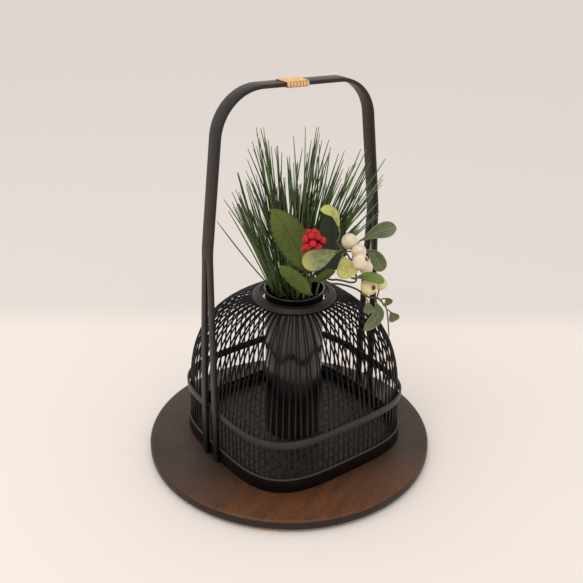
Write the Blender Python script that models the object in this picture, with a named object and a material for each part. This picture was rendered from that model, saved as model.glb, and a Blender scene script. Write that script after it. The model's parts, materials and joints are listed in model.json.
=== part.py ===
"""Handled bamboo flower basket on a round lacquered board.

The basket is a cage of thin upright ribs between a squarish base and a round neck.
A slit bamboo strip makes its tall handle, a black tube inside it holds the water,
and an artificial winter arrangement stands in the tube.

Frame: X runs along the handle, +Z is up, and the origin is the middle of the board's
underside, where its battens stand. All sizes are metres.
"""

import math

import bmesh
import bpy
from mathutils import Matrix, Vector

# Board and its battens
BOARD_RADIUS = 0.150
BOARD_THICKNESS = 0.0103
BOARD_TOP_ROUND = 0.0030
BOARD_FOOT_ROUND = 0.0020
BOARD_SIDES = 60
BATTEN_HEIGHT = 0.0030
BATTEN_WIDTH = 0.0160
BATTEN_RIM_INSET = 0.0520
BATTEN_END_INSET = 0.0035
BATTEN_CHAMFER = 0.0010

# Basket plan, a superellipse, and where it stands on the board
BASKET_HALF_LENGTH = 0.0986
BASKET_HALF_DEPTH = 0.0976
BASKET_SQUARENESS = 3.63
BASKET_OFF_CENTRE_X = 0.0065
BASKET_OFF_CENTRE_Y = 0.0020
OUTLINE_SIDES = 88

# Clearances shared by all pieces
FIT_GAP = 0.0003
GLUE_GAP = 0.00003
MERGE_DISTANCE = 0.00001

# Hoops and ribs
HOOP_WALL = 0.0022
BASE_HOOP_HEIGHT = 0.0154
INNER_HOOP_HEIGHT = 0.0125
BELT_HEIGHT = 0.0081
BELT_LIFT = 0.0523
RIB_COUNT = 104
RIB_THICKNESS = 0.0014
RIB_FOOT_LIFT = 0.0010

# Dome and neck: the ribs lean in from the base hoop and enter the neck level
NECK_INNER_RADIUS = 0.0350
NECK_OUTER_RADIUS = 0.0431
NECK_TOP_WIDTH = 0.0046
NECK_TOP_SLOPE = 0.0007
NECK_LIP_DROP = 0.0053
NECK_LIP_EDGE = 0.0009
NECK_RIB_RADIUS = 0.0405
NECK_RIB_DROP = 0.0065
DOME_UP_POWER = 3.34
DOME_IN_POWER = 1.70
DOME_HEIGHT_SHARES = (0.98, 0.91, 0.77, 0.56, 0.26)
NECK_LINER_WALL = 0.0013
NECK_LINER_HEIGHT = 0.0100
NECK_LINER_DROP = 0.0010
NECK_LINER_SIDES = 48

# Plaited floor, as one panel
FLOOR_THICKNESS = 0.0020
FLOOR_LIFT = 0.0020

# Handle: one bamboo strip, slit near its ends into four feet
HANDLE_WIDTH = 0.0155
HANDLE_THICKNESS = 0.0037
HANDLE_HEIGHT = 0.3805
HANDLE_CROWN_FALL = 0.0115
HANDLE_SHOULDER_HALF_SPAN = 0.0838
HANDLE_LEAN_HEIGHT = 0.2350
HANDLE_LEAN_ROUND = 0.1100
HANDLE_SHOULDER_ROUND = 0.0410
HANDLE_SLIT_DROP = 0.0060
HANDLE_FOOT_WIDTH = 0.0074
HANDLE_FOOT_STEPS = 9
HANDLE_ARC_STEP = 0.0080

# Bamboo pegs that hold each foot to the base hoops: each passes between two ribs, so its
# place to the front or back of the handle is counted in the spaces from rib to rib
PEG_RADIUS = 0.0012
PEG_HEIGHT = 0.0078
PEG_RIB_SPACES = (
    ("handle_peg_left_front", -1, -0.5),
    ("handle_peg_left_back", -1, 2.5),
    ("handle_peg_right_front", 1, -1.5),
    ("handle_peg_right_back", 1, 1.5),
)
PEG_SIDES = 10
CUT_OVERRUN = 0.0100

# Rattan wrapped round the top of the handle
WRAP_TURNS = 8
WRAP_LENGTH = 0.0345
WRAP_OFF_CENTRE = -0.0030
WRAP_CANE_WIDTH = 0.0033
WRAP_CANE_THICKNESS = 0.0008
WRAP_CORNER_ROUND = 0.0009
WRAP_CORNER_POINTS = 4
WRAP_SIDE_POINTS = 2

# Water tube
TUBE_RADIUS = 0.0297
TUBE_WALL = 0.0018
TUBE_HEIGHT = 0.1665
TUBE_RISE = 0.0044
TUBE_LIP_RADIUS = 0.0311
TUBE_LIP_HEIGHT = 0.0045
TUBE_LIP_EDGE = 0.0012
TUBE_FLOOR = 0.0030
TUBE_FOOT_ROUND = 0.0020
TUBE_SIDES = 36

# Arrangement: it faces its viewer across a corner of the basket
VIEW_TURN = math.radians(-36.65)
STEM_FOOT_LIFT = 0.0010
STEM_DRAW_IN_SHARE = 0.62
FLOWER_REACH = 0.100

# Pine: sprigs whose needles fan out of a small head in the mouth of the tube
PINE_HEAD_RADIUS = 0.0030
PINE_HEAD_HEIGHT = 0.0012
PINE_HEAD_NECK = 0.0060
PINE_HEAD_SINK = 0.0160
PINE_STEM_RADIUS = 0.0013
PINE_SIDES = 12
PINE_ROWS = 2
PINE_CROWN_CLEARANCE = 0.0248
PINE_TIP_SIZE_SHARE = 0.25
PINE_UNEVEN_SHARE = 0.10
PINE_WAVE_SHARES = (9, 14)
PINE_OUTER_SHORT_SHARE = 0.16

# Leaves and berries
STEM_RADIUS = 0.0010
TWIG_RADIUS = 0.0011
TWIG_TIP_RADIUS = 0.0007
PETIOLE_RADIUS = 0.0007
LEAF_TIP_HALF_WIDTH = 0.0004
LEAF_THICKNESS = 0.0009
RED_BERRY_RADIUS = 0.0034
RED_BERRY_COUNT = 12
RED_CLUSTER_RADIUS = 0.0079
RED_CORE_RADIUS = 0.0056
STALK_RADIUS = 0.0008

# Heights and radii that follow from the sizes above
BOARD_TOP = BATTEN_HEIGHT + BOARD_THICKNESS
BATTEN_SPREAD = BOARD_RADIUS - BATTEN_RIM_INSET
HOOP_TOP = BOARD_TOP + BASE_HOOP_HEIGHT
RIB_INSET = HOOP_WALL + FIT_GAP + RIB_THICKNESS / 2
INNER_HOOP_INSET = HOOP_WALL + FIT_GAP + RIB_THICKNESS + FIT_GAP
FLOOR_INSET = INNER_HOOP_INSET + HOOP_WALL + FIT_GAP
FLOOR_BOTTOM = BOARD_TOP + FLOOR_LIFT
FLOOR_TOP = FLOOR_BOTTOM + FLOOR_THICKNESS
TUBE_BOTTOM = FLOOR_TOP + FIT_GAP
TUBE_TOP = TUBE_BOTTOM + TUBE_HEIGHT
NECK_TOP = TUBE_TOP - TUBE_RISE
NECK_RIB_Z = NECK_TOP - NECK_RIB_DROP
TUBE_BORE = TUBE_RADIUS - TUBE_WALL
LEG_X = BASKET_HALF_LENGTH + FIT_GAP + HANDLE_THICKNESS / 2
CROWN_Z = BOARD_TOP + HANDLE_HEIGHT - HANDLE_THICKNESS / 2
PINE_NEEDLE_LENGTH = CROWN_Z - TUBE_TOP - PINE_CROWN_CLEARANCE
PEG_INNER_END = BASKET_HALF_LENGTH - INNER_HOOP_INSET - HOOP_WALL
PEG_OUTER_END = LEG_X + HANDLE_THICKNESS / 2
BASKET_CENTRE = Vector((BASKET_OFF_CENTRE_X, BASKET_OFF_CENTRE_Y, 0))
UP = Vector((0, 0, 1))


def clear_scene():
    for old in list(bpy.data.objects):
        bpy.data.objects.remove(old, do_unlink=True)


def material(name, colour, roughness, metallic=0.0):
    """A plain Principled material; colour is linear RGB."""
    mat = bpy.data.materials.get(name) or bpy.data.materials.new(name)
    mat.use_nodes = True
    shader = mat.node_tree.nodes["Principled BSDF"]
    shader.inputs["Base Color"].default_value = (*colour, 1.0)
    shader.inputs["Roughness"].default_value = roughness
    shader.inputs["Metallic"].default_value = metallic
    return mat


def make_materials():
    return {
        "board_wood": material("board_lacquered_wood", (0.055, 0.030, 0.022), 0.45),
        "bare_wood": material("batten_bare_wood", (0.42, 0.27, 0.15), 0.7),
        "bamboo": material("black_lacquered_bamboo", (0.028, 0.025, 0.024), 0.5),
        "rattan": material("natural_rattan", (0.68, 0.43, 0.20), 0.55),
        "tube": material("black_gloss_plastic", (0.012, 0.012, 0.012), 0.2),
        "pine": material("pine_green_plastic", (0.06, 0.13, 0.03), 0.55),
        "leaf": material("leaf_green_fabric", (0.07, 0.15, 0.03), 0.6),
        "dark_leaf": material("dark_leaf_fabric", (0.015, 0.035, 0.012), 0.6),
        "pale_leaf": material("pale_leaf_fabric", (0.22, 0.30, 0.12), 0.6),
        "twig": material("twig_brown_plastic", (0.14, 0.16, 0.05), 0.6),
        "red_berry": material("red_berry_gloss", (0.60, 0.01, 0.012), 0.3),
        "white_berry": material("white_berry_satin", (0.80, 0.72, 0.58), 0.45),
    }


def finish(name, mesh_bm, mat, origin, sharp=35.0):
    """Turn a bmesh in world places into a named object whose origin is given."""
    bmesh.ops.recalc_face_normals(mesh_bm, faces=mesh_bm.faces)
    bmesh.ops.translate(mesh_bm, verts=mesh_bm.verts, vec=-origin)
    mesh = bpy.data.meshes.new(name)
    mesh_bm.to_mesh(mesh)
    mesh_bm.free()
    mesh.materials.append(mat)
    mesh.shade_smooth()
    mesh.set_sharp_from_angle(angle=math.radians(sharp))
    obj = bpy.data.objects.new(name, mesh)
    obj.location = origin
    bpy.context.scene.collection.objects.link(obj)
    return obj


def loft(bm, loops, ring=False, capped=True):
    """Skin each loop of points to the next, and the last to the first in a ring."""
    made = [[bm.verts.new(point) for point in points] for points in loops]
    pairs = list(zip(made, made[1:]))
    if ring:
        pairs.append((made[-1], made[0]))
    for low, high in pairs:
        for index, vert in enumerate(low):
            after = (index + 1) % len(low)
            bm.faces.new((vert, low[after], high[after], high[index]))
    if capped and not ring:
        bm.faces.new(reversed(made[0]))
        bm.faces.new(made[-1])
    return made


def turned(bm, profile, centre, sides):
    """Spin a profile of (radius, height) points about the upright axis at the centre."""
    points = [centre + Vector((radius, 0, height)) for radius, height in profile]
    verts = [bm.verts.new(point) for point in points]
    on_axis = profile[0][0] == 0
    ends = verts[1:] if on_axis else verts[1:] + verts[:1]
    edges = [bm.edges.new(pair) for pair in zip(verts, ends)]
    bmesh.ops.spin(bm, geom=verts + edges, cent=centre, axis=UP, angle=math.tau,
                   steps=sides, use_merge=True)
    bmesh.ops.remove_doubles(bm, verts=bm.verts, dist=MERGE_DISTANCE)


class Outline:
    """The squarish plan of the basket, walked by share of its length."""

    def __init__(self, half_x, half_y, power, samples=2880):
        self.half_x = half_x
        self.half_y = half_y
        self.power = power
        self.places = []
        self.lengths = [0.0]
        for index in range(samples + 1):
            angle = math.tau * index / samples
            reach_x = math.copysign(abs(math.cos(angle)) ** (2 / power), math.cos(angle))
            reach_y = math.copysign(abs(math.sin(angle)) ** (2 / power), math.sin(angle))
            self.places.append(Vector((half_x * reach_x, half_y * reach_y, 0)))
        for before, after in zip(self.places, self.places[1:]):
            self.lengths.append(self.lengths[-1] + (after - before).length)

    def at(self, share, inset=0.0):
        """The point at a share of the way round, and the outward direction there."""
        wanted = (share % 1.0) * self.lengths[-1]
        low, high = 0, len(self.lengths) - 1
        while high - low > 1:
            middle = (low + high) // 2
            if self.lengths[middle] <= wanted:
                low = middle
            else:
                high = middle
        part = (wanted - self.lengths[low]) / (self.lengths[high] - self.lengths[low])
        place = self.places[low].lerp(self.places[high], part)
        slope_x = math.copysign(abs(place.x / self.half_x) ** (self.power - 1), place.x)
        slope_y = math.copysign(abs(place.y / self.half_y) ** (self.power - 1), place.y)
        outward = Vector((slope_x / self.half_x, slope_y / self.half_y, 0)).normalized()
        return place - outward * inset, outward

    def loop(self, inset, height):
        shares = [index / OUTLINE_SIDES for index in range(OUTLINE_SIDES)]
        return [BASKET_CENTRE + self.at(share, inset)[0] + UP * height for share in shares]


OUTLINE = Outline(BASKET_HALF_LENGTH, BASKET_HALF_DEPTH, BASKET_SQUARENESS)


def build_board(mats):
    bm = bmesh.new()
    quarter = math.pi / 2
    profile = [(0, BATTEN_HEIGHT)]
    for angle in (-quarter, -quarter / 2, 0):
        profile.append((BOARD_RADIUS - BOARD_FOOT_ROUND * (1 - math.cos(angle)),
                        BATTEN_HEIGHT + BOARD_FOOT_ROUND * (1 + math.sin(angle))))
    for angle in (0, quarter / 3, quarter * 2 / 3, quarter):
        profile.append((BOARD_RADIUS - BOARD_TOP_ROUND * (1 - math.cos(angle)),
                        BOARD_TOP - BOARD_TOP_ROUND * (1 - math.sin(angle))))
    profile.append((0, BOARD_TOP))
    turned(bm, profile, Vector(), BOARD_SIDES)
    finish("display_board", bm, mats["board_wood"], Vector())


def build_battens(mats):
    half_length = math.sqrt(BOARD_RADIUS ** 2 - BATTEN_SPREAD ** 2) - BATTEN_END_INSET
    for side, word in ((-1, "left"), (1, "right")):
        bm = bmesh.new()
        bmesh.ops.create_cube(bm, size=1.0)
        size = Vector((BATTEN_WIDTH, 2 * half_length, BATTEN_HEIGHT - GLUE_GAP))
        bmesh.ops.scale(bm, verts=bm.verts, vec=size)
        lower = [edge for edge in bm.edges if all(vert.co.z < 0 for vert in edge.verts)]
        bmesh.ops.bevel(bm, geom=lower, offset=BATTEN_CHAMFER, segments=1, affect="EDGES",
                        profile=0.5, material=-1)
        place = Vector((side * BATTEN_SPREAD, 0, size.z / 2))
        bmesh.ops.translate(bm, verts=bm.verts, vec=place)
        finish("board_batten_" + word, bm, mats["bare_wood"], place)


def build_hoop(name, mat, inset, wall, bottom, height, cutters=()):
    """A flat strip bent round the basket's plan, its outer face at the given inset."""
    bm = bmesh.new()
    outer, inner = inset, inset + wall
    corners = ((outer, bottom), (outer, bottom + height), (inner, bottom + height),
               (inner, bottom))
    loft(bm, [OUTLINE.loop(depth, level) for depth, level in corners], ring=True)
    hoop = finish(name, bm, mat, BASKET_CENTRE)
    add_cuts(hoop, cutters)
    return hoop


def add_cuts(obj, cutters):
    for cutter in cutters:
        cut = obj.modifiers.new(cutter.name, "BOOLEAN")
        cut.operation = "DIFFERENCE"
        cut.object = cutter
        cut.solver = "EXACT"


def rib_path(index):
    """Centre points of one rib from the neck down to its foot, with width directions."""
    share = index / RIB_COUNT
    base, outward = OUTLINE.at(share, RIB_INSET)
    angle = math.tau * share
    neck = Vector((math.cos(angle), math.sin(angle), 0)) * NECK_RIB_RADIUS
    neck_side = Vector((-math.sin(angle), math.cos(angle), 0))
    base_side = UP.cross(outward)
    points = [neck + UP * NECK_RIB_Z]
    sides = [neck_side]
    for height_share in DOME_HEIGHT_SHARES:
        inward = 1 - (1 - height_share ** DOME_UP_POWER) ** (1 / DOME_IN_POWER)
        level = HOOP_TOP + (NECK_RIB_Z - HOOP_TOP) * height_share
        points.append(base.lerp(neck, inward) + UP * level)
        sides.append(base_side.lerp(neck_side, inward).normalized())
    points.append(base + UP * (BOARD_TOP + RIB_FOOT_LIFT))
    sides.append(base_side)
    return [BASKET_CENTRE + point for point in points], sides


def section_directions(points, sides):
    """Width and depth directions of the section at each point of a path."""
    found = []
    last = len(points) - 1
    for index, side in enumerate(sides):
        ahead = points[min(index + 1, last)] - points[index]
        behind = points[index] - points[max(index - 1, 0)]
        along = (ahead.normalized() + behind.normalized()).normalized()
        depth = along.cross(side).normalized()
        found.append((depth.cross(along).normalized(), depth))
    return found


def polar(place):
    """Angle of a place about the basket's axis, from half a rib pitch before +X."""
    offset = place - BASKET_CENTRE
    half_pitch = math.pi / RIB_COUNT
    return (math.atan2(offset.y, offset.x) + half_pitch) % math.tau


def build_rib_cage(mats):
    """The neck hoop with every rib drawn out of its wall, down the dome to the base."""
    bm = bmesh.new()
    wall_bottom = NECK_RIB_Z - RIB_THICKNESS / 2
    wall_top = NECK_RIB_Z + RIB_THICKNESS / 2
    profile = [
        (NECK_INNER_RADIUS, NECK_TOP),
        (NECK_INNER_RADIUS + NECK_TOP_WIDTH, NECK_TOP - NECK_TOP_SLOPE),
        (NECK_OUTER_RADIUS, NECK_TOP - NECK_LIP_DROP + NECK_LIP_EDGE),
        (NECK_OUTER_RADIUS - FIT_GAP, NECK_TOP - NECK_LIP_DROP),
        (NECK_RIB_RADIUS, wall_top),
        (NECK_RIB_RADIUS, wall_bottom),
        (NECK_INNER_RADIUS, wall_bottom),
    ]
    turned(bm, profile, BASKET_CENTRE, RIB_COUNT)
    half_pitch = Matrix.Rotation(math.pi / RIB_COUNT, 3, "Z")
    bmesh.ops.rotate(bm, verts=bm.verts, cent=BASKET_CENTRE, matrix=half_pitch)
    walls = []
    for face in bm.faces:
        middle = face.calc_center_median()
        in_wall = abs(middle.z - NECK_RIB_Z) < RIB_THICKNESS / 4
        if in_wall and (middle - BASKET_CENTRE).xy.length > NECK_INNER_RADIUS + NECK_TOP_WIDTH / 2:
            walls.append(face)
    walls.sort(key=lambda face: polar(face.calc_center_median()))

    paths = [rib_path(index) for index in range(RIB_COUNT)]
    frames = [section_directions(points, sides) for points, sides in paths]
    half = RIB_THICKNESS / 2

    def place_section(face, index, step, reference):
        """Put a face's corners on the rib's square section at one step."""
        centre = face.calc_center_median()
        width_dir, depth_dir = frames[index][reference]
        new_width, new_depth = frames[index][step]
        point = paths[index][0][step]
        for vert in face.verts:
            offset = vert.co - centre
            across = math.copysign(half, offset.dot(width_dir))
            over = math.copysign(half, offset.dot(depth_dir))
            vert.co = point + new_width * across + new_depth * over

    for step in range(1, len(paths[0][0])):
        made = bmesh.ops.extrude_discrete_faces(bm, faces=walls)
        walls = sorted(made["faces"], key=lambda face: polar(face.calc_center_median()))
        for index, face in enumerate(walls):
            place_section(face, index, step, step - 1)
    finish("rib_cage", bm, mats["bamboo"], BASKET_CENTRE)


def build_neck_liner(mats):
    bm = bmesh.new()
    outer = NECK_INNER_RADIUS - FIT_GAP
    inner = outer - NECK_LINER_WALL
    top = NECK_TOP - NECK_LINER_DROP
    bottom = top - NECK_LINER_HEIGHT
    profile = [(inner, bottom), (outer, bottom), (outer, top), (inner, top)]
    turned(bm, profile, BASKET_CENTRE, NECK_LINER_SIDES)
    finish("neck_liner_hoop", bm, mats["bamboo"], BASKET_CENTRE)


def build_floor(mats):
    bm = bmesh.new()
    loft(bm, [OUTLINE.loop(FLOOR_INSET, FLOOR_BOTTOM), OUTLINE.loop(FLOOR_INSET, FLOOR_TOP)])
    finish("plaited_floor", bm, mats["bamboo"], BASKET_CENTRE)


def fitted_reaches(corners, roundings):
    """How far each corner's arc reaches along its runs, drawn in where two arcs meet."""
    reaches = []
    for before, corner, after, radius in zip(corners, corners[1:], corners[2:], roundings):
        reaches.append(radius * math.tan((corner - before).angle(after - corner) / 2))
    ends = [0] + reaches + [0]
    for index, (low, high) in enumerate(zip(corners, corners[1:])):
        room = (high - low).length / (ends[index] + ends[index + 1])
        if room < 1:
            ends[index] *= room
            ends[index + 1] *= room
    return ends[1:-1]


def rounded_path(corners, roundings, step):
    """Points along straight runs between corners, with an arc at each inner corner."""
    path = [corners[0]]
    reaches = fitted_reaches(corners, roundings)
    for before, corner, after, reach in zip(corners, corners[1:], corners[2:], reaches):
        into = (corner - before).normalized()
        out = (after - corner).normalized()
        bend = into.angle(out)
        radius = reach / math.tan(bend / 2)
        start = corner - into * reach
        normal = (out - into * into.dot(out)).normalized()
        centre = start + normal * radius
        count = max(3, math.ceil(radius * bend / step))
        for index in range(count + 1):
            angle = bend * index / count
            path.append(centre - normal * radius * math.cos(angle)
                        + into * radius * math.sin(angle))
    path.append(corners[-1])
    return spaced(path)


def spaced(points):
    """The points without any that lies on the one before it, as where two arcs meet."""
    kept = points[:1]
    for point in points[1:]:
        if (point - kept[-1]).length > MERGE_DISTANCE:
            kept.append(point)
    return kept


def handle_corners():
    """Corners of the handle's middle line, from the left slit to the right one."""
    lean = BOARD_TOP + HANDLE_LEAN_HEIGHT
    slit = lean - HANDLE_SLIT_DROP
    fall = HANDLE_CROWN_FALL / 2
    left = [Vector((-LEG_X, 0, slit)), Vector((-LEG_X, 0, lean)),
            Vector((-HANDLE_SHOULDER_HALF_SPAN, 0, CROWN_Z + fall))]
    right = [Vector((HANDLE_SHOULDER_HALF_SPAN, 0, CROWN_Z - fall)), Vector((LEG_X, 0, lean)),
             Vector((LEG_X, 0, slit))]
    return left + right


def build_handle(mats, cutters):
    """Sweep the strip over the arch, then draw its two half-widths apart to the feet."""
    path = rounded_path(handle_corners(), (HANDLE_LEAN_ROUND, HANDLE_SHOULDER_ROUND,
                                           HANDLE_SHOULDER_ROUND, HANDLE_LEAN_ROUND),
                        HANDLE_ARC_STEP)
    across = Vector((0, 1, 0))
    frames = section_directions(path, [across] * len(path))
    half_width = HANDLE_WIDTH / 2
    half_thick = HANDLE_THICKNESS / 2
    loops = []
    for point, (width_dir, depth_dir) in zip(path, frames):
        middle = BASKET_CENTRE + point
        loops.append([middle + width_dir * half_width * side + depth_dir * half_thick * face
                      for side, face in ((-1, -1), (0, -1), (1, -1), (1, 1), (0, 1), (-1, 1))])
    bm = bmesh.new()
    made = loft(bm, loops, capped=False)
    for verts in (made[0], made[-1]):
        halves = (bm.faces.new((verts[0], verts[1], verts[4], verts[5])),
                  bm.faces.new((verts[1], verts[2], verts[3], verts[4])))
        for face in halves:
            spread_foot(bm, face)
    handle = finish("handle_arch", bm, mats["bamboo"], BASKET_CENTRE)
    add_cuts(handle, cutters)


def peg_place(side, rib_spaces):
    """Middle of a peg that passes between two ribs, on one side of the basket."""
    sideways = math.copysign(OUTLINE.at(abs(rib_spaces) / RIB_COUNT)[0].y, rib_spaces)
    along = side * (PEG_INNER_END + PEG_OUTER_END) / 2
    return BASKET_CENTRE + Vector((along, sideways, BOARD_TOP + PEG_HEIGHT))


def spread_foot(bm, face):
    """Draw one half of the slit strip down to the board, over to the peg that holds it."""
    start = face.calc_center_median()
    places = [peg_place(side, spaces) for name, side, spaces in PEG_RIB_SPACES]
    foot = next(place for place in places if is_same_quarter(place, start))
    foot.z = BOARD_TOP + FIT_GAP
    for step in range(1, HANDLE_FOOT_STEPS + 1):
        made = bmesh.ops.extrude_discrete_faces(bm, faces=[face])
        face = made["faces"][0]
        share = step / HANDLE_FOOT_STEPS
        width = HANDLE_WIDTH / 2 + (HANDLE_FOOT_WIDTH - HANDLE_WIDTH / 2) * share
        centre = start.y + (foot.y - start.y) * math.sin(share * math.pi / 2)
        level = start.z + (foot.z - start.z) * share
        middle = face.calc_center_median()
        for vert in face.verts:
            vert.co.y = centre + math.copysign(width / 2, vert.co.y - middle.y)
            vert.co.z = level


def is_same_quarter(place, other):
    """Whether two places are on the same side of the basket, left or right, front or back."""
    first = place - BASKET_CENTRE
    second = other - BASKET_CENTRE
    return first.x * second.x > 0 and first.y * second.y > 0


def peg_rod(place, radius, length):
    bm = bmesh.new()
    bmesh.ops.create_cone(bm, cap_ends=True, segments=PEG_SIDES, radius1=radius,
                          radius2=radius, depth=length,
                          matrix=Matrix.Rotation(math.pi / 2, 4, "Y"))
    bmesh.ops.translate(bm, verts=bm.verts, vec=place)
    return bm


def build_peg_cutters(mats):
    """A rod for each peg's hole through its foot and both hoops."""
    cutters = []
    length = PEG_OUTER_END - PEG_INNER_END + 2 * CUT_OVERRUN
    for name, side, spaces in PEG_RIB_SPACES:
        place = peg_place(side, spaces)
        rod = peg_rod(place, PEG_RADIUS + FIT_GAP, length)
        cutter = finish(name + "_cutter", rod, mats["bamboo"], place)
        cutter.hide_render = True
        cutter.display_type = "WIRE"
        cutters.append(cutter)
    return cutters


def build_pegs(mats):
    for name, side, spaces in PEG_RIB_SPACES:
        place = peg_place(side, spaces)
        rod = peg_rod(place, PEG_RADIUS, PEG_OUTER_END - PEG_INNER_END)
        finish(name, rod, mats["bamboo"], place)


def wrap_section_path():
    """One turn of the cane round the strip: places and outward directions in its plane."""
    clear = FIT_GAP + WRAP_CANE_THICKNESS / 2
    half_w = HANDLE_WIDTH / 2 + clear
    half_t = HANDLE_THICKNESS / 2 + clear
    rounding = WRAP_CORNER_ROUND
    corners = ((1, 1, 0), (-1, 1, 1), (-1, -1, 2), (1, -1, 3))
    points = []
    for sign_w, sign_t, quarter in corners:
        centre = Vector((sign_w * (half_w - rounding), sign_t * (half_t - rounding)))
        for index in range(WRAP_CORNER_POINTS):
            angle = (quarter + index / (WRAP_CORNER_POINTS - 1)) * math.pi / 2
            outward = Vector((math.cos(angle), math.sin(angle)))
            points.append((centre + outward * rounding, outward))
        along_width = quarter % 2 == 0
        run = 2 * ((half_w if along_width else half_t) - rounding)
        ahead = Vector((-points[-1][1].y, points[-1][1].x))
        base, outward = points[-1]
        for index in range(1, WRAP_SIDE_POINTS + 1):
            points.append((base + ahead * run * index / (WRAP_SIDE_POINTS + 1), outward))
    return points


def build_wrap(mats):
    """One unbroken flat cane wound round the crown of the handle."""
    corners = handle_corners()
    along = (corners[3] - corners[2]).normalized()
    crown_middle = (corners[3] + corners[2]) / 2
    centre = BASKET_CENTRE + crown_middle + along * (WRAP_OFF_CENTRE / along.x)
    width_dir = Vector((0, 1, 0))
    thick_dir = along.cross(width_dir).normalized()
    turn = wrap_section_path()
    pitch = (WRAP_LENGTH - WRAP_CANE_WIDTH) / WRAP_TURNS
    loops = []
    middles = []
    for index in range(WRAP_TURNS * len(turn) + 1):
        place, outward = turn[index % len(turn)]
        advance = pitch * index / len(turn) - (WRAP_LENGTH - WRAP_CANE_WIDTH) / 2
        middle = centre + along * advance + width_dir * place.x + thick_dir * place.y
        out = width_dir * outward.x + thick_dir * outward.y
        middles.append(middle)
        loops.append([middle + along * WRAP_CANE_WIDTH / 2 * side
                      + out * WRAP_CANE_THICKNESS / 2 * face
                      for side, face in ((-1, -1), (1, -1), (1, 1), (-1, 1))])
    bm = bmesh.new()
    loft(bm, loops)
    finish("rattan_wrap", bm, mats["rattan"], centre)
    gap = min((middles[index + len(turn)] - middles[index]).length
              for index in range(len(middles) - len(turn))) - WRAP_CANE_WIDTH
    print(f"rattan_wrap: least gap between turns {gap * 1000:.2f} mm")


def build_tube(mats):
    bm = bmesh.new()
    flare = TUBE_TOP - TUBE_LIP_HEIGHT
    profile = [
        (0, TUBE_BOTTOM),
        (TUBE_RADIUS - TUBE_FOOT_ROUND, TUBE_BOTTOM),
        (TUBE_RADIUS, TUBE_BOTTOM + TUBE_FOOT_ROUND),
        (TUBE_RADIUS, flare),
        (TUBE_LIP_RADIUS, TUBE_TOP - TUBE_LIP_EDGE),
        (TUBE_LIP_RADIUS, TUBE_TOP),
        (TUBE_LIP_RADIUS - TUBE_WALL, TUBE_TOP),
        (TUBE_BORE, flare),
        (TUBE_BORE, TUBE_BOTTOM + TUBE_FLOOR),
        (0, TUBE_BOTTOM + TUBE_FLOOR),
    ]
    turned(bm, profile, BASKET_CENTRE, TUBE_SIDES)
    finish("water_tube", bm, mats["tube"], BASKET_CENTRE + UP * TUBE_BOTTOM)


# Places in the arrangement are shares of its reach, to the right, away and up as its
# viewer sees it, counted from the middle of the tube's mouth.

def flower_point(shares):
    turn = Matrix.Rotation(VIEW_TURN, 3, "Z")
    return BASKET_CENTRE + UP * TUBE_TOP + turn @ (Vector(shares) * FLOWER_REACH)


def flower_direction(shares):
    return Matrix.Rotation(VIEW_TURN, 3, "Z") @ Vector(shares).normalized()


def stem_points(mouth_shares):
    """A stem's foot on the tube's floor and its place in the mouth, both inside the bore."""
    mouth = flower_point((0, 0, 0))
    offset = flower_direction((*mouth_shares, 0)) * Vector(mouth_shares).length * TUBE_BORE
    foot = mouth + offset * STEM_DRAW_IN_SHARE
    foot.z = TUBE_BOTTOM + TUBE_FLOOR + STEM_FOOT_LIFT
    return foot, mouth + offset


def smooth_path(points, steps):
    """A smooth curve through the points, with the given number of steps in each span."""
    padded = [2 * points[0] - points[1]] + list(points) + [2 * points[-1] - points[-2]]
    path = []
    for p0, p1, p2, p3 in zip(padded, padded[1:], padded[2:], padded[3:]):
        for step in range(steps):
            t = step / steps
            path.append(0.5 * ((2 * p1) + (p2 - p0) * t + (2 * p0 - 5 * p1 + 4 * p2 - p3) * t * t
                               + (3 * p1 - p0 - 3 * p2 + p3) * t * t * t))
    path.append(points[-1])
    return path


def carried_sides(path, last_side):
    """Side directions that follow a path back from its end without twisting."""
    sides = [last_side]
    for index in range(len(path) - 2, -1, -1):
        along = (path[index + 1] - path[max(index - 1, 0)]).normalized()
        side = sides[0] - along * along.dot(sides[0])
        sides.insert(0, side.normalized())
    return sides


def rod_loops(path, radii, sides, last_side):
    """Round sections along a path, each with its own radius."""
    loops = []
    frames = section_directions(path, carried_sides(path, last_side))
    for point, radius, (side, depth) in zip(path, radii, frames):
        loops.append([point + (side * math.cos(math.tau * k / sides)
                               + depth * math.sin(math.tau * k / sides)) * radius
                      for k in range(sides)])
    return loops


def blade_sides(path, face_dir):
    """Directions across a leaf that faces the given way, at each point of its midrib."""
    sides = []
    for index in range(len(path)):
        along = path[min(index + 1, len(path) - 1)] - path[max(index - 1, 0)]
        sides.append(along.cross(face_dir).normalized())
    return sides


def blade_loops(path, half_widths, sides):
    """Thin lens sections along a leaf, its edges raised towards the face by the cup."""
    half = LEAF_THICKNESS / 2
    loops = []
    for point, width, (side, depth) in zip(path, half_widths, section_directions(path, sides)):
        lift = -depth * width * CUP_SHARE
        loops.append([point + side * width + lift, point + depth * half,
                      point - side * width + lift, point - depth * half])
    return loops


POINTED_SHARES = (0.24, 0.50, 0.73, 0.89, 0.98, 1.00, 0.91, 0.70, 0.38)
SPOON_SHARES = (0.16, 0.30, 0.52, 0.76, 0.94, 1.00, 0.94, 0.70)
TOOTH_SHARE = 0.07
CUP_SHARE = 0.18


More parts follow.
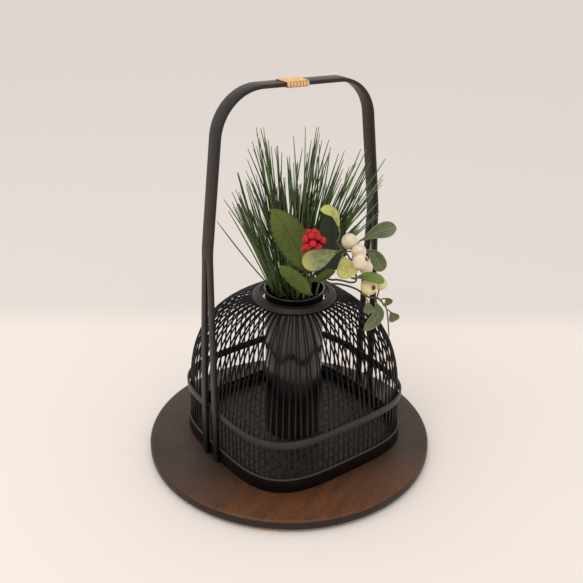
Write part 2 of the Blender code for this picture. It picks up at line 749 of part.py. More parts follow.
def leaf(name, mat, stem, blade_shares, width_share, face, shape, teeth=0):
    """A leaf blade on its stem, in one piece.

    stem holds the stem's points; blade_shares are the blade's base, middle and tip; the
    width is a share of the arrangement's reach.
    """
    face_dir = flower_direction(face)
    blade = smooth_path([flower_point(shares) for shares in blade_shares], 12)
    count = teeth * 2 if teeth else len(shape) + 1
    stations = [blade[round(index * (len(blade) - 1) / count)] for index in range(1, count)]
    half = width_share * FLOWER_REACH / 2
    half_widths = []
    shares = (0, *shape, 0)
    for index in range(1, count):
        place = index / count * (len(shares) - 1)
        low = int(place)
        share = shares[low] + (shares[low + 1] - shares[low]) * (place - low)
        bite = 1 - TOOTH_SHARE if teeth and index % 2 == 0 else 1
        half_widths.append(half * share * bite)
    path = stations + [blade[-1]]
    half_widths.append(LEAF_TIP_HALF_WIDTH)
    sides = blade_sides(path, face_dir)
    stalk = list(stem) + [blade[0]]
    loops = rod_loops(stalk, [PETIOLE_RADIUS] * len(stalk), 4, sides[0])
    loops += blade_loops(path, half_widths, sides)
    bm = bmesh.new()
    loft(bm, loops)
    finish(name, bm, mat, stalk[0], sharp=60)


def side_start(twig, node, target):
    """Where a side stalk leaves a twig: just off its skin, heading square from it."""
    along = (twig[min(node + 1, len(twig) - 1)] - twig[max(node - 1, 0)]).normalized()
    toward = target - twig[node]
    square = (toward - along * along.dot(toward)).normalized()
    start = twig[node] + square * (TWIG_RADIUS + FIT_GAP)
    return [start, start + square * TWIG_RADIUS]


def build_twig(name, mat, mouth_shares, twig_shares):
    foot, mouth = stem_points(mouth_shares)
    nodes = [flower_point(shares) for shares in twig_shares]
    path = [foot, mouth] + nodes
    bm = bmesh.new()
    radii = [TWIG_RADIUS] * (len(path) - 1) + [TWIG_TIP_RADIUS]
    loft(bm, rod_loops(path, radii, 6, flower_direction((0, 1, 0))))
    finish(name, bm, mat, foot)
    return nodes


BERRY_SIDES = 9
BERRY_RING_SHARES = (0.40, 0.82, 1.0, 0.82, 0.40)


def berry(name, mat, twig, node, centre_shares, radius_share):
    """A round berry and its short stalk, in one piece."""
    centre = flower_point(centre_shares)
    radius = radius_share * FLOWER_REACH
    start = side_start(twig, node, centre)
    toward = (centre - start[1]).normalized()
    entry = centre - toward * radius
    path = [start[0], start[1], entry]
    radii = [STALK_RADIUS, STALK_RADIUS, STALK_RADIUS]
    for ring_share in BERRY_RING_SHARES:
        sink = math.sqrt(1 - ring_share ** 2) * radius
        before = len(path) < 3 + len(BERRY_RING_SHARES) // 2
        path.append(centre + toward * (-sink if before else sink))
        radii.append(radius * ring_share)
    path.append(centre + toward * radius)
    radii.append(STALK_RADIUS)
    bm = bmesh.new()
    loft(bm, rod_loops(path, radii, BERRY_SIDES, toward.orthogonal().normalized()))
    finish(name, bm, mat, centre)


def build_pine(name, mats, head_shares, lean_shares, spread_shares, length_share):
    """A stem with a small domed head, every facet of which is drawn out into a needle."""
    foot, mouth = stem_points(head_shares)
    head = mouth.lerp(foot, PINE_HEAD_SINK / (mouth.z - foot.z))
    axis = flower_direction((*lean_shares, 1))
    right = flower_direction((1, 0, 0))
    back = axis.cross(right).normalized()
    right = back.cross(axis).normalized()
    path = [foot, head - axis * PINE_HEAD_NECK]
    radii = [PINE_STEM_RADIUS, PINE_STEM_RADIUS]
    for row in range(PINE_ROWS + 1):
        inward = row / (PINE_ROWS + 1)
        path.append(head + axis * PINE_HEAD_HEIGHT * inward)
        radii.append(PINE_HEAD_RADIUS * (1 - inward))
    bm = bmesh.new()
    made = loft(bm, rod_loops(path, radii, PINE_SIDES, right))
    crown = set(made[-1])
    bmesh.ops.poke(bm, faces=[face for face in bm.faces if set(face.verts) == crown])
    dome = {vert for ring in made[2:] for vert in ring}
    facets = [face for face in bm.faces
              if len(face.verts) == 4 and dome.issuperset(face.verts)]
    bmesh.ops.triangulate(bm, faces=facets, quad_method="FIXED")
    facets = [face for face in bm.faces if len(face.verts) == 3]
    needles = bmesh.ops.extrude_discrete_faces(bm, faces=facets)["faces"]
    for face in needles:
        middle = face.calc_center_median()
        across = (middle - head).dot(right) / PINE_HEAD_RADIUS
        away = (middle - head).dot(back) / PINE_HEAD_RADIUS
        along = axis + right * across * spread_shares[0] + back * away * spread_shares[1]
        reach = needle_reach(across, away, length_share)
        for vert in face.verts:
            vert.co = middle + along * reach + (vert.co - middle) * PINE_TIP_SIZE_SHARE
    finish(name, bm, mats["pine"], foot, sharp=60)


def needle_reach(across, away, length_share):
    """Needle length: longest in the middle of a sprig, and a little uneven."""
    uneven = math.sin(across * PINE_WAVE_SHARES[0] + away * PINE_WAVE_SHARES[1])
    outer = math.hypot(across, away)
    share = 1 + uneven * PINE_UNEVEN_SHARE - outer * PINE_OUTER_SHORT_SHARE
    return PINE_NEEDLE_LENGTH * length_share * share


RED_MOUTH_SHARES = (0.40, -0.50)
RED_CLUSTER_SHARES = (0.169, -0.42, 0.706)
RED_STEM_SIDE_SHARE = 0.8


def build_red_berries(mats):
    """A stem whose round core is ringed by berries."""
    foot, mouth = stem_points(RED_MOUTH_SHARES)
    centre = flower_point(RED_CLUSTER_SHARES)
    bm = bmesh.new()
    neck = centre - (centre - mouth).normalized() * RED_CORE_RADIUS
    path = [foot, mouth, neck]
    radii = [STEM_RADIUS] * 3
    toward = (centre - mouth).normalized()
    for ring_share in BERRY_RING_SHARES:
        sink = math.sqrt(1 - ring_share ** 2) * RED_CORE_RADIUS
        before = len(path) < 3 + len(BERRY_RING_SHARES) // 2
        path.append(centre + toward * (-sink if before else sink))
        radii.append(RED_CORE_RADIUS * ring_share)
    path.append(centre + toward * RED_CORE_RADIUS)
    radii.append(STEM_RADIUS)
    loft(bm, rod_loops(path, radii, BERRY_SIDES, toward.orthogonal().normalized()))
    cluster = finish("red_berry_cluster", bm, mats["red_berry"], centre)
    berries = bmesh.new()
    golden = math.pi * (3 - math.sqrt(5))
    for index in range(RED_BERRY_COUNT):
        height = 1 - 2 * (index + 0.5) / RED_BERRY_COUNT
        ring = math.sqrt(1 - height ** 2)
        spot = Vector((ring * math.cos(golden * index), ring * math.sin(golden * index), height))
        if spot.dot(toward) < -RED_STEM_SIDE_SHARE:
            continue
        bmesh.ops.create_icosphere(berries, subdivisions=2, radius=RED_BERRY_RADIUS,
                                   matrix=Matrix.Translation(centre + spot * RED_CLUSTER_RADIUS))
    joiner = finish("red_berry_joiner", berries, mats["red_berry"], centre)
    joiner.hide_render = True
    joiner.display_type = "WIRE"
    join = cluster.modifiers.new("berries", "BOOLEAN")
    join.operation = "UNION"
    join.object = joiner
    join.solver = "EXACT"


# Each sprig: its head's place in the mouth, its lean to the right and away, how far its
# needles spread each way, and its needle length as a share of the longest.
PINE_SPRIG_SHARES = (
    ("pine_sprig_far_left", (-0.38, 0.06), (-0.60, 0.08), (0.20, 0.12), 0.62),
    ("pine_sprig_left", (-0.20, 0.34), (-0.22, 0.12), (0.13, 0.14), 0.94),
    ("pine_sprig_middle", (0.00, 0.08), (0.01, 0.10), (0.12, 0.13), 0.95),
    ("pine_sprig_right", (0.20, 0.34), (0.29, 0.12), (0.13, 0.14), 0.92),
    ("pine_sprig_far_right", (0.36, 0.02), (0.64, 0.08), (0.19, 0.12), 0.80),
)


VIEWER = (0, -1, 0.35)
UPWARD = (0, -0.6, 1)

# Each serrated leaf: its stem's place in the mouth, its blade's base, middle and tip, its
# width, the way that it faces, and its teeth.
STEM_LEAF_SHARES = (
    ("serrated_leaf_large", "leaf", (0.10, -0.62),
     ((0.082, -0.18, 0.253), (-0.03, -0.25, 0.60), (-0.237, -0.32, 0.975)), 0.34, VIEWER, 9),
    ("serrated_leaf_low", "leaf", (0.30, -0.80),
     ((0.13, -0.36, 0.11), (0.03, -0.34, 0.24), (-0.153, -0.26, 0.376)), 0.17, UPWARD, 7),
    ("serrated_leaf_right", "leaf", (0.50, -0.62),
     ((0.20, -0.22, 0.17), (0.31, -0.27, 0.25), (0.407, -0.33, 0.33)), 0.13, UPWARD, 6),
    ("serrated_leaf_back", "dark_leaf", (0.58, -0.16),
     ((0.22, -0.08, 0.12), (0.36, -0.09, 0.46), (0.33, -0.05, 0.84)), 0.33, VIEWER, 9),
)

# Each twig: its place in the mouth, and its nodes from there to its tip.
UPPER_TWIG_MOUTH_SHARES = (0.80, -0.34)
LOWER_TWIG_MOUTH_SHARES = (0.78, -0.56)
UPPER_TWIG_SHARES = (
    (0.37, -0.20, 0.178), (0.56, -0.30, 0.20), (0.60, -0.31, 0.25), (0.575, -0.30, 0.33),
    (0.56, -0.285, 0.38), (0.535, -0.27, 0.43), (0.49, -0.25, 0.50), (0.43, -0.24, 0.55),
    (0.40, -0.20, 0.60),
)
LOWER_TWIG_SHARES = (
    (0.37, -0.20, 0.134), (0.58, -0.32, 0.150), (0.70, -0.37, 0.085), (0.80, -0.38, 0.075),
    (0.84, -0.38, 0.045), (0.87, -0.38, 0.0), (0.906, -0.38, -0.066), (0.937, -0.42, -0.33),
)

# Each white berry: the twig and node that carry it, its centre and its radius.
WHITE_BERRY_SHARES = (
    ("upper_left", "upper", 7, (0.525, -0.20, 0.591), 0.0766),
    ("upper_middle", "upper", 6, (0.610, -0.32, 0.538), 0.0717),
    ("upper_front", "upper", 5, (0.619, -0.47, 0.505), 0.0756),
    ("upper_low", "upper", 3, (0.687, -0.30, 0.359), 0.0675),
    ("lower_front", "lower", 2, (0.716, -0.40, 0.204), 0.0810),
    ("lower_back", "lower", 3, (0.837, -0.29, 0.188), 0.0660),
)

# Each leaf of the twigs: the twig and node that carry it, its blade's base, middle and
# tip, its width and the way that it faces.
TWIG_LEAF_SHARES = (
    ("variegated_leaf", "pale_leaf", "upper", 7,
     ((0.44, -0.36, 0.575), (0.26, -0.50, 0.56), (0.07, -0.53, 0.50)), 0.20, VIEWER),
    ("yellow_green_leaf", "pale_leaf", "upper", 6,
     ((0.447, -0.36, 0.52), (0.48, -0.41, 0.44), (0.526, -0.45, 0.328)), 0.17, VIEWER),
    ("curled_leaf", "pale_leaf", "upper", 8,
     ((0.435, -0.15, 0.665), (0.37, -0.16, 0.86), (0.243, -0.20, 0.91)), 0.10, UPWARD),
    ("upper_right_leaf", "pale_leaf", "upper", 5,
     ((0.621, -0.14, 0.561), (0.79, -0.13, 0.66), (0.971, -0.14, 0.722)), 0.16, VIEWER),
    ("right_leaf", "pale_leaf", "upper", 4,
     ((0.669, -0.18, 0.505), (0.80, -0.17, 0.43), (0.893, -0.20, 0.292)), 0.15, VIEWER),
    ("green_side_leaf", "leaf", "upper", 2,
     ((0.575, -0.39, 0.30), (0.71, -0.47, 0.345), (0.855, -0.47, 0.30)), 0.12, UPWARD),
    ("hanging_leaf", "pale_leaf", "lower", 2,
     ((0.711, -0.39, 0.05), (0.72, -0.41, -0.01), (0.727, -0.42, -0.075)), 0.105, VIEWER),
    ("curved_leaf", "pale_leaf", "lower", 3,
     ((0.80, -0.39, 0.03), (0.815, -0.42, -0.10), (0.683, -0.46, -0.248)), 0.12, VIEWER),
    ("small_dark_leaf", "leaf", "lower", 4,
     ((0.875, -0.36, 0.060), (0.905, -0.355, 0.035), (0.93, -0.355, -0.01)), 0.09, VIEWER),
    ("fan_leaf", "pale_leaf", "lower", 6,
     ((0.935, -0.35, -0.085), (0.97, -0.34, -0.14), (1.0, -0.34, -0.20)), 0.115, VIEWER),
)


def build_arrangement(mats):
    for name, head, lean, spread, length in PINE_SPRIG_SHARES:
        build_pine(name, mats, head, lean, spread, length)
    for name, slot, mouth, blade, width, face, teeth in STEM_LEAF_SHARES:
        leaf(name, mats[slot], stem_points(mouth), blade, width, face, POINTED_SHARES, teeth)
    build_red_berries(mats)
    twigs = {
        "upper": build_twig("upper_berry_twig", mats["twig"], UPPER_TWIG_MOUTH_SHARES,
                            UPPER_TWIG_SHARES),
        "lower": build_twig("lower_berry_twig", mats["twig"], LOWER_TWIG_MOUTH_SHARES,
                            LOWER_TWIG_SHARES),
    }
    for name, twig, node, centre, radius in WHITE_BERRY_SHARES:
        berry("white_berry_" + name, mats["white_berry"], twigs[twig], node, centre, radius)
    for name, slot, twig, node, blade, width, face in TWIG_LEAF_SHARES:
        stem = side_start(twigs[twig], node, flower_point(blade[0]))
        leaf(name, mats[slot], stem, blade, width, face, SPOON_SHARES)


def main():
    clear_scene()
    mats = make_materials()
    build_board(mats)
    build_battens(mats)
    cutters = build_peg_cutters(mats)
    build_hoop("base_hoop_outer", mats["bamboo"], 0, HOOP_WALL, BOARD_TOP + FIT_GAP,
               BASE_HOOP_HEIGHT, cutters)
    build_hoop("base_hoop_inner", mats["bamboo"], INNER_HOOP_INSET, HOOP_WALL,
               BOARD_TOP + FIT_GAP, INNER_HOOP_HEIGHT, cutters)
    build_hoop("belt_hoop", mats["bamboo"], 0, HOOP_WALL, BOARD_TOP + BELT_LIFT, BELT_HEIGHT)
    build_floor(mats)
    build_rib_cage(mats)
    build_neck_liner(mats)
    build_handle(mats, cutters)
    build_pegs(mats)
    build_wrap(mats)
    build_tube(mats)
    build_arrangement(mats)


main()
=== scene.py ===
"""Looks of a handled bamboo flower basket that stands on a round lacquered board.

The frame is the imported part: X runs along the handle, +Z is up, and all sizes are metres.
Each piece below is modelled at its real size in the space of the node that it stands for.
"""

import json
import math
import random

import bmesh
import bpy
from mathutils import Matrix, Vector

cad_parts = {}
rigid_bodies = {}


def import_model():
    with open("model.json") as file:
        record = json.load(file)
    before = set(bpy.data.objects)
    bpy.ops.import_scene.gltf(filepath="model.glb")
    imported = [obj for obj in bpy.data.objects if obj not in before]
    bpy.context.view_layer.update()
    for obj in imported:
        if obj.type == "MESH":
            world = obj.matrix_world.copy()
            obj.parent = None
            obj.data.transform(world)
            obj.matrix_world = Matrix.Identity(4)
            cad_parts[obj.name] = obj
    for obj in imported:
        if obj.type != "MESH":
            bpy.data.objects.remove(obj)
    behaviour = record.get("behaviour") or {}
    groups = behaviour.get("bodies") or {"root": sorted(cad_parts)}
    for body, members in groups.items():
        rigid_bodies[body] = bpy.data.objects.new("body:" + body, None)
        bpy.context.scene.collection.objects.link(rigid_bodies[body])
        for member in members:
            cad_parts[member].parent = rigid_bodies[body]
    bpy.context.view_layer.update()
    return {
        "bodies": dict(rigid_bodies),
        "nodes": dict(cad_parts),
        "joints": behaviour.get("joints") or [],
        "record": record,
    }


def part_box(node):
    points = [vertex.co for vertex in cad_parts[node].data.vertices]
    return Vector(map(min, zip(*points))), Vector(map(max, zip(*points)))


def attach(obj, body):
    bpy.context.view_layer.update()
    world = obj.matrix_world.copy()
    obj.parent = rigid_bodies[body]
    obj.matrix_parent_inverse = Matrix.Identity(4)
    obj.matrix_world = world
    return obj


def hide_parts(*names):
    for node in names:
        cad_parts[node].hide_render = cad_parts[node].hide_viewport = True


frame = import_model()

MM = 0.001
UP = Vector((0, 0, 1))
ALONG_X = Vector((1, 0, 0))
ALONG_Y = Vector((0, 1, 0))
MERGE_DISTANCE = 0.01 * MM
RIM_REACH = 0.05 * MM

# Camera, fitted to the board's rim, the base, the neck and the handle's corners
CAMERA_PLACE = Vector((-0.4888, -0.6569, 0.5938))
CAMERA_HEADING = math.radians(36.73)
CAMERA_DOWN = math.radians(26.73)
CAMERA_ROLL = math.radians(0.51)
FOCAL_SHARE = 909.77 / 583
SENSOR_WIDTH = 36.0

# Board
BOARD_STEPS = 192
BOARD_TOP_ROUND = 3.2 * MM
BOARD_FOOT_ROUND = 2.0 * MM
BATTEN_EDGE = 0.4 * MM
BATTEN_RIM_GAP = 2.0 * MM
BATTEN_CUTS = 6
# Only the edges that turn by more than this many radians are eased
BATTEN_SQUARE_ANGLE = 1.0
# Its figure's turn, the slanted line past which its front is wiped thin, and the heights
# between which its top turns to the darker side of its rim
BOARD_GRAIN_TURN = math.radians(62)
BOARD_FRONT_SKEW = 0.45
BOARD_THIN_COAT = (-45.0 * MM, -150.0 * MM)
BOARD_DARK_SIDE = (12.8 * MM, 10.8 * MM)

# Basket plan and its strips of split bamboo
SQUARENESS = 3.63
OUTLINE_STEPS = 264
HOOP_WALL = 2.2 * MM
HOOP_EDGE = 0.5 * MM
HOOP_EDGE_ANGLE = math.radians(60)
HOOP_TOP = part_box("base_hoop_outer")[1].z
FIT_GAP = 0.3 * MM
RIB_COUNT = 104
RIB_SLOT = 2.0 * MM
RIB_THICKNESS = 1.6 * MM
RIB_NECK_SHARE = 0.90
RIB_EDGE = 0.45 * MM
RIB_STEPS = 18
RIB_SWAY = 1.5 * MM
RIB_SEED = 5
RIB_STEP_POWER = 0.6
RIB_SWAY_START = 0.2
RIB_SWAY_POWER = 1.5

# Dome and neck
DOME_UP_POWER = 3.34
DOME_IN_POWER = 1.70
NECK_INNER_RADIUS = 35.0 * MM
NECK_OUTER_RADIUS = 43.1 * MM
NECK_TOP_WIDTH = 4.6 * MM
NECK_TOP_SLOPE = 0.7 * MM
NECK_LIP_DROP = 5.3 * MM
NECK_LIP_EDGE = 0.9 * MM
NECK_RIB_RADIUS = 40.5 * MM
NECK_RIB_DROP = 6.5 * MM
NECK_STEPS = 128
NECK_EDGE = 0.45 * MM
LINER_WALL = 1.3 * MM
LINER_EDGE = 0.3 * MM

# Floor of plaited strips, each over two and under two
STRIP_PITCH = 9.6 * MM
STRIP_WIDTH = 8.6 * MM
STRIP_THICKNESS = 0.6 * MM
STRIP_LIFT = 0.60 * MM
STRIP_STEPS = 6
STRIP_EDGE = 0.15 * MM
STRIP_FLAT_SHARE = 0.3
STRIP_BEND_SHARE = 0.2

# Handle
HANDLE_WIDTH = 15.5 * MM
HANDLE_THICKNESS = 3.7 * MM
HANDLE_EDGE = 0.9 * MM
HANDLE_HEIGHT = 380.5 * MM
HANDLE_CROWN_FALL = 11.5 * MM
HANDLE_SHOULDER_HALF_SPAN = 83.8 * MM
HANDLE_LEAN_HEIGHT = 235.0 * MM
HANDLE_SLIT_DROP = 6.0 * MM
HANDLE_LEAN_ROUND = 110.0 * MM
HANDLE_SHOULDER_ROUND = 45.0 * MM
HANDLE_ARC_STEP = 2.5 * MM
HANDLE_FOOT_WIDTH = 7.4 * MM
HANDLE_FOOT_STEPS = 24
PEG_NODES = ("handle_peg_left_front", "handle_peg_left_back", "handle_peg_right_front",
             "handle_peg_right_back")
PEG_STEPS = 24
PEG_DOME = 0.3 * MM
PEG_FLAT_SHARE = 0.7

# Rattan grip
WRAP_TURNS = 7
WRAP_LENGTH = 28.6 * MM
WRAP_OFF_CENTRE = -4.7 * MM
CANE_WIDTH = 3.55 * MM
CANE_THICKNESS = 1.2 * MM
WRAP_CORNER_ROUND = 2.2 * MM
WRAP_TURN_STEPS = 44
WRAP_HIDDEN_STEPS = 9
CANE_SEGMENTS = 8
CANE_DOME_SHARE = 0.80
CANE_DOME_POWER = 2.2

# Water tube
TUBE_WALL = 1.8 * MM
TUBE_LIP_HEIGHT = 4.5 * MM
TUBE_LIP_EDGE = 1.2 * MM
TUBE_FLARE = 1.4 * MM
TUBE_FLOOR = 3.0 * MM
TUBE_FOOT_ROUND = 2.0 * MM
TUBE_STEPS = 128
TUBE_EDGE = 0.4 * MM

# Arrangement: it faces its viewer across a corner of the basket
VIEW_TURN = math.radians(-36.65)
FLOWER_REACH = 100.0 * MM
STEM_DRAW_IN_SHARE = 0.62
STEM_FOOT_LIFT = 1.0 * MM
STEM_RADIUS = 1.0 * MM
TWIG_RADIUS = 1.0 * MM
PETIOLE_RADIUS = 0.65 * MM
STALK_RADIUS = 0.75 * MM
LEAF_THICKNESS = 0.35 * MM
LEAF_LEAST_HALF_WIDTH = 0.35 * MM
NEEDLE_RADIUS = 0.68 * MM
RED_BERRY_RADIUS = 3.7 * MM
RED_STALK_RADIUS = 0.6 * MM
RED_TIP_STALK = 1.8 * MM
RIPE_HEIGHTS = (206.0 * MM, 218.0 * MM)
VEIN_SLANT = 0.8
SIDE_VEIN_SHARE = 0.45

# Stage: the flat cloth turns from the floor's colour to a painted wall shade between two
# distances behind the middle, and each lamp has its name, place, width and power
PALE_FLOOR = "#F4ECE5"
PALE_WALL_SHADE = "#E5DFDA"
CLOTH_RISE = (0.23, 0.33)
STAGE_RADIUS = 8
ROOM_COLOUR = "#FFFBF8"
ROOM_STRENGTH = 0.92
LAMPS = (
    ("overhead_soft_lamp", Vector((-0.5, -0.3, 1.5)), 1.1, 3.4),
    ("window_soft_lamp", Vector((-1.3, 0.5, 0.9)), 0.9, 1.3),
)
LAMP_TARGET = Vector((0, 0, 0.1))


# Shader helpers

def linear(hex_colour):
    """An sRGB hex colour as linear RGBA."""
    found = []
    for index in (1, 3, 5):
        value = int(hex_colour[index:index + 2], 16) / 255
        low = value / 12.92
        high = ((value + 0.055) / 1.055) ** 2.4
        found.append(low if value <= 0.04045 else high)
    return (*found, 1.0)


def add(tree, kind, inputs=None, **settings):
    """Add a shader node; inputs gives values, hex colours or the outputs linked to it."""
    made = tree.nodes.new(kind)
    for key, value in settings.items():
        setattr(made, key, value)
    for key, value in (inputs or {}).items():
        if isinstance(value, bpy.types.NodeSocket):
            tree.links.new(value, made.inputs[key])
        else:
            made.inputs[key].default_value = linear(value) if isinstance(value, str) else value
    return made


# A colour mix node takes its share and its two colours here and gives its result there.
MIX_SHARE, MIX_LOW, MIX_HIGH, MIX_RESULT = 0, 6, 7, 2


def new_finish(name, roughness, **inputs):
    """A material whose shader has its constants set, its node tree, and the place of each
    point on the piece, which patterns follow."""
    mat = bpy.data.materials.new(name)
    mat.use_nodes = True
    shader = mat.node_tree.nodes["Principled BSDF"]
    shader.inputs["Roughness"].default_value = roughness
    for key, value in inputs.items():
        shader.inputs[key.replace("_", " ")].default_value = value
    place = add(mat.node_tree, "ShaderNodeTexCoord").outputs["Object"]
    return mat, mat.node_tree, place


def grained(tree, place, sizes, detail=3.0, rough=0.55):
    """An uneven grain that runs from 0 to 1; its patches have the given real sizes along
    X, Y and Z, in millimetres."""
    stretched = add(tree, "ShaderNodeMapping",
                    {"Vector": place, "Scale": [1 / (size * MM) for size in sizes]})
    made = add(tree, "ShaderNodeTexNoise",
               {"Vector": stretched.outputs["Vector"], "Scale": 1.0, "Detail": detail,
                "Roughness": rough})
    return made.outputs["Fac"]


def coated(tree, colour, *coats, soft=False):
    """Lay coats over a first colour. Each coat gives the pattern that it follows, that
    pattern's values where it starts and where it is full, its colour, and how much it
    covers where it is full."""
    for pattern, start, full, other, cover in coats:
        share = add(tree, "ShaderNodeMapRange",
                    {"Value": pattern, "From Min": start, "From Max": full, "To Max": cover},
                    interpolation_type="SMOOTHSTEP" if soft else "LINEAR")
        laid = add(tree, "ShaderNodeMix",
                   {MIX_SHARE: share.outputs["Result"], MIX_LOW: colour, MIX_HIGH: other},
                   data_type="RGBA")
        colour = laid.outputs[MIX_RESULT]
    return colour


def dressed(mat, colour, shine=None, relief=None, depth=0.0):
    """Finish a material: its colour, its shine as a pattern with the two values and the two
    roughnesses between which it runs, and its relief with its real depth in metres."""
    tree = mat.node_tree
    shader = tree.nodes["Principled BSDF"]
    tree.links.new(colour, shader.inputs["Base Color"])
    if shine:
        pattern, start, full, least, most = shine
        rough = add(tree, "ShaderNodeMapRange",
                    {"Value": pattern, "From Min": start, "From Max": full,
                     "To Min": least, "To Max": most})
        tree.links.new(rough.outputs["Result"], shader.inputs["Roughness"])
    if relief:
        raised = add(tree, "ShaderNodeBump",
                     {"Height": relief, "Distance": depth, "Strength": 1.0})
        tree.links.new(raised.outputs["Normal"], shader.inputs["Normal"])
    return mat


# Finishes

def black_lacquered_bamboo(name, sizes, colours, sheen=0.4, change=None):
    """Split bamboo under thin black lacquer: its fibre still shows as fine ridges, and the
    brown of the lacquer comes through where it was wiped thin. change gives two heights
    between which the colour turns to another one, and that colour."""
    mat, tree, place = new_finish(name, 0.40, IOR=1.45, Specular_IOR_Level=sheen)
    deep, thin, ridge = colours
    fibre = grained(tree, place, sizes, detail=4.0, rough=0.7)
    worn = grained(tree, place, (14, 14, 14), detail=4.0)
    colour = coated(tree, deep, (worn, 0.42, 0.68, thin, 1.0), (fibre, 0.40, 0.80, ridge, 1.0))
    # The change by height paints light and shade: a highlight along the base hoop's top edge,
    # light and shade on the ribs, and shade on the handle's feet
    if change:
        start, end, other = change
        height = add(tree, "ShaderNodeSeparateXYZ", {"Vector": place}).outputs["Z"]
        colour = coated(tree, colour, (height, start, end, other, 1.0), soft=True)
    return dressed(mat, colour, (fibre, 0.3, 0.7, 0.34, 0.50), fibre, 0.05 * MM)


def wiped_lacquer_on_wood():
    """Dark lacquer wiped over a turned wooden board: figure shows through, the coat is
    thinnest and most orange along the front of the rim, and the rim's side is darkest."""
    mat, tree, place = new_finish("wiped_lacquer_on_turned_wood", 0.42, IOR=1.5,
                                  Specular_IOR_Level=0.28)
    turned_place = add(tree, "ShaderNodeMapping",
                       {"Vector": place, "Rotation": (0, 0, BOARD_GRAIN_TURN)})
    figure = grained(tree, turned_place.outputs["Vector"], (9, 60, 60), detail=7.0, rough=0.62)
    pores = grained(tree, turned_place.outputs["Vector"], (0.7, 6, 6))
    cloud = grained(tree, place, (55, 55, 55), detail=4.0)
    grit = grained(tree, place, (1.8, 1.8, 1.8), detail=4.0, rough=0.7)
    split = add(tree, "ShaderNodeSeparateXYZ", {"Vector": place}).outputs
    toward = add(tree, "ShaderNodeMath", {0: split["X"], 1: BOARD_FRONT_SKEW, 2: split["Y"]},
                 operation="MULTIPLY_ADD")
    front = add(tree, "ShaderNodeMapRange",
                {"Value": toward.outputs[0], "From Min": BOARD_THIN_COAT[0],
                 "From Max": BOARD_THIN_COAT[1]}, interpolation_type="SMOOTHSTEP")
    patchy = add(tree, "ShaderNodeMapRange",
                 {"Value": figure, "From Min": 0.30, "From Max": 0.62, "To Min": 0.35})
    thin = add(tree, "ShaderNodeMath",
               {0: front.outputs["Result"], 1: patchy.outputs["Result"]},
               operation="MULTIPLY")
    top = coated(tree, "#36291F", (cloud, 0.36, 0.66, "#44332A", 1.0),
                 (thin.outputs[0], 0.0, 1.0, "#6C4123", 1.0),
                 (pores, 0.54, 0.70, "#241813", 0.60), (grit, 0.50, 0.66, "#2A1B13", 0.40))
    colour = coated(tree, top, (split["Z"], *BOARD_DARK_SIDE, "#261A16", 1.0), soft=True)
    return dressed(mat, colour, (figure, 0.3, 0.7, 0.36, 0.52), pores, 0.08 * MM)


def bare_batten_wood():
    """Planed softwood left bare, pale tan with long dark grain."""
    mat, tree, place = new_finish("planed_bare_softwood", 0.7)
    grain = grained(tree, place, (1.4, 40, 1.4), detail=5.0)
    colour = coated(tree, "#B98D5A", (grain, 0.35, 0.7, "#8E6237", 1.0))
    return dressed(mat, colour, relief=grain, depth=0.08 * MM)


def rattan_cane():
    """Split rattan with its glossy skin outward, honey coloured, with painted shade darker in its
    creases.
    """
    mat, tree, place = new_finish("split_rattan_cane", 0.42, IOR=1.5)
    fibre = grained(tree, place, (0.45, 12, 12))
    patch = grained(tree, place, (5, 5, 5), detail=2.0)
    crown = add(tree, "ShaderNodeAttribute", attribute_name="crown").outputs["Fac"]
    colour = coated(tree, "#E4B478", (patch, 0.35, 0.65, "#F8D19A", 1.0),
                    (fibre, 0.48, 0.72, "#C28A4C", 0.75), (crown, 0.70, 0.25, "#9A6832", 0.80))
    return dressed(mat, colour, relief=fibre, depth=0.10 * MM)


def black_moulded_plastic():
    """Black moulded plastic: glossy, so that it mirrors the pale room softly, with a faint
    orange peel and a little dust."""
    mat, tree, place = new_finish("black_moulded_plastic", 0.10, IOR=1.5,
                                  Specular_IOR_Level=0.80)
    peel = grained(tree, place, (2.5, 2.5, 6), detail=2.0)
    dust = grained(tree, place, (22, 22, 40), detail=4.0)
    colour = coated(tree, "#0C0B0B", (dust, 0.40, 0.66, "#1A1716", 1.0))
    return dressed(mat, colour, (dust, 0.35, 0.65, 0.10, 0.17), peel, 0.01 * MM)


def pine_needle_plastic():
    """Moulded plastic needles: some a dry grey brown, most leaf green, some bright."""
    mat, tree, place = new_finish("moulded_pine_needle", 0.42, IOR=1.46)
    strand = add(tree, "ShaderNodeNewGeometry").outputs["Random Per Island"]
    streak = grained(tree, place, (4, 4, 16), detail=2.0)
    return dressed(mat, coated(tree, "#3E3D31", (strand, 0.42, 0.48, "#4A6829", 1.0),
                               (strand, 0.80, 0.86, "#6F9640", 1.0),
                               (streak, 0.50, 0.72, "#35392A", 0.65)))


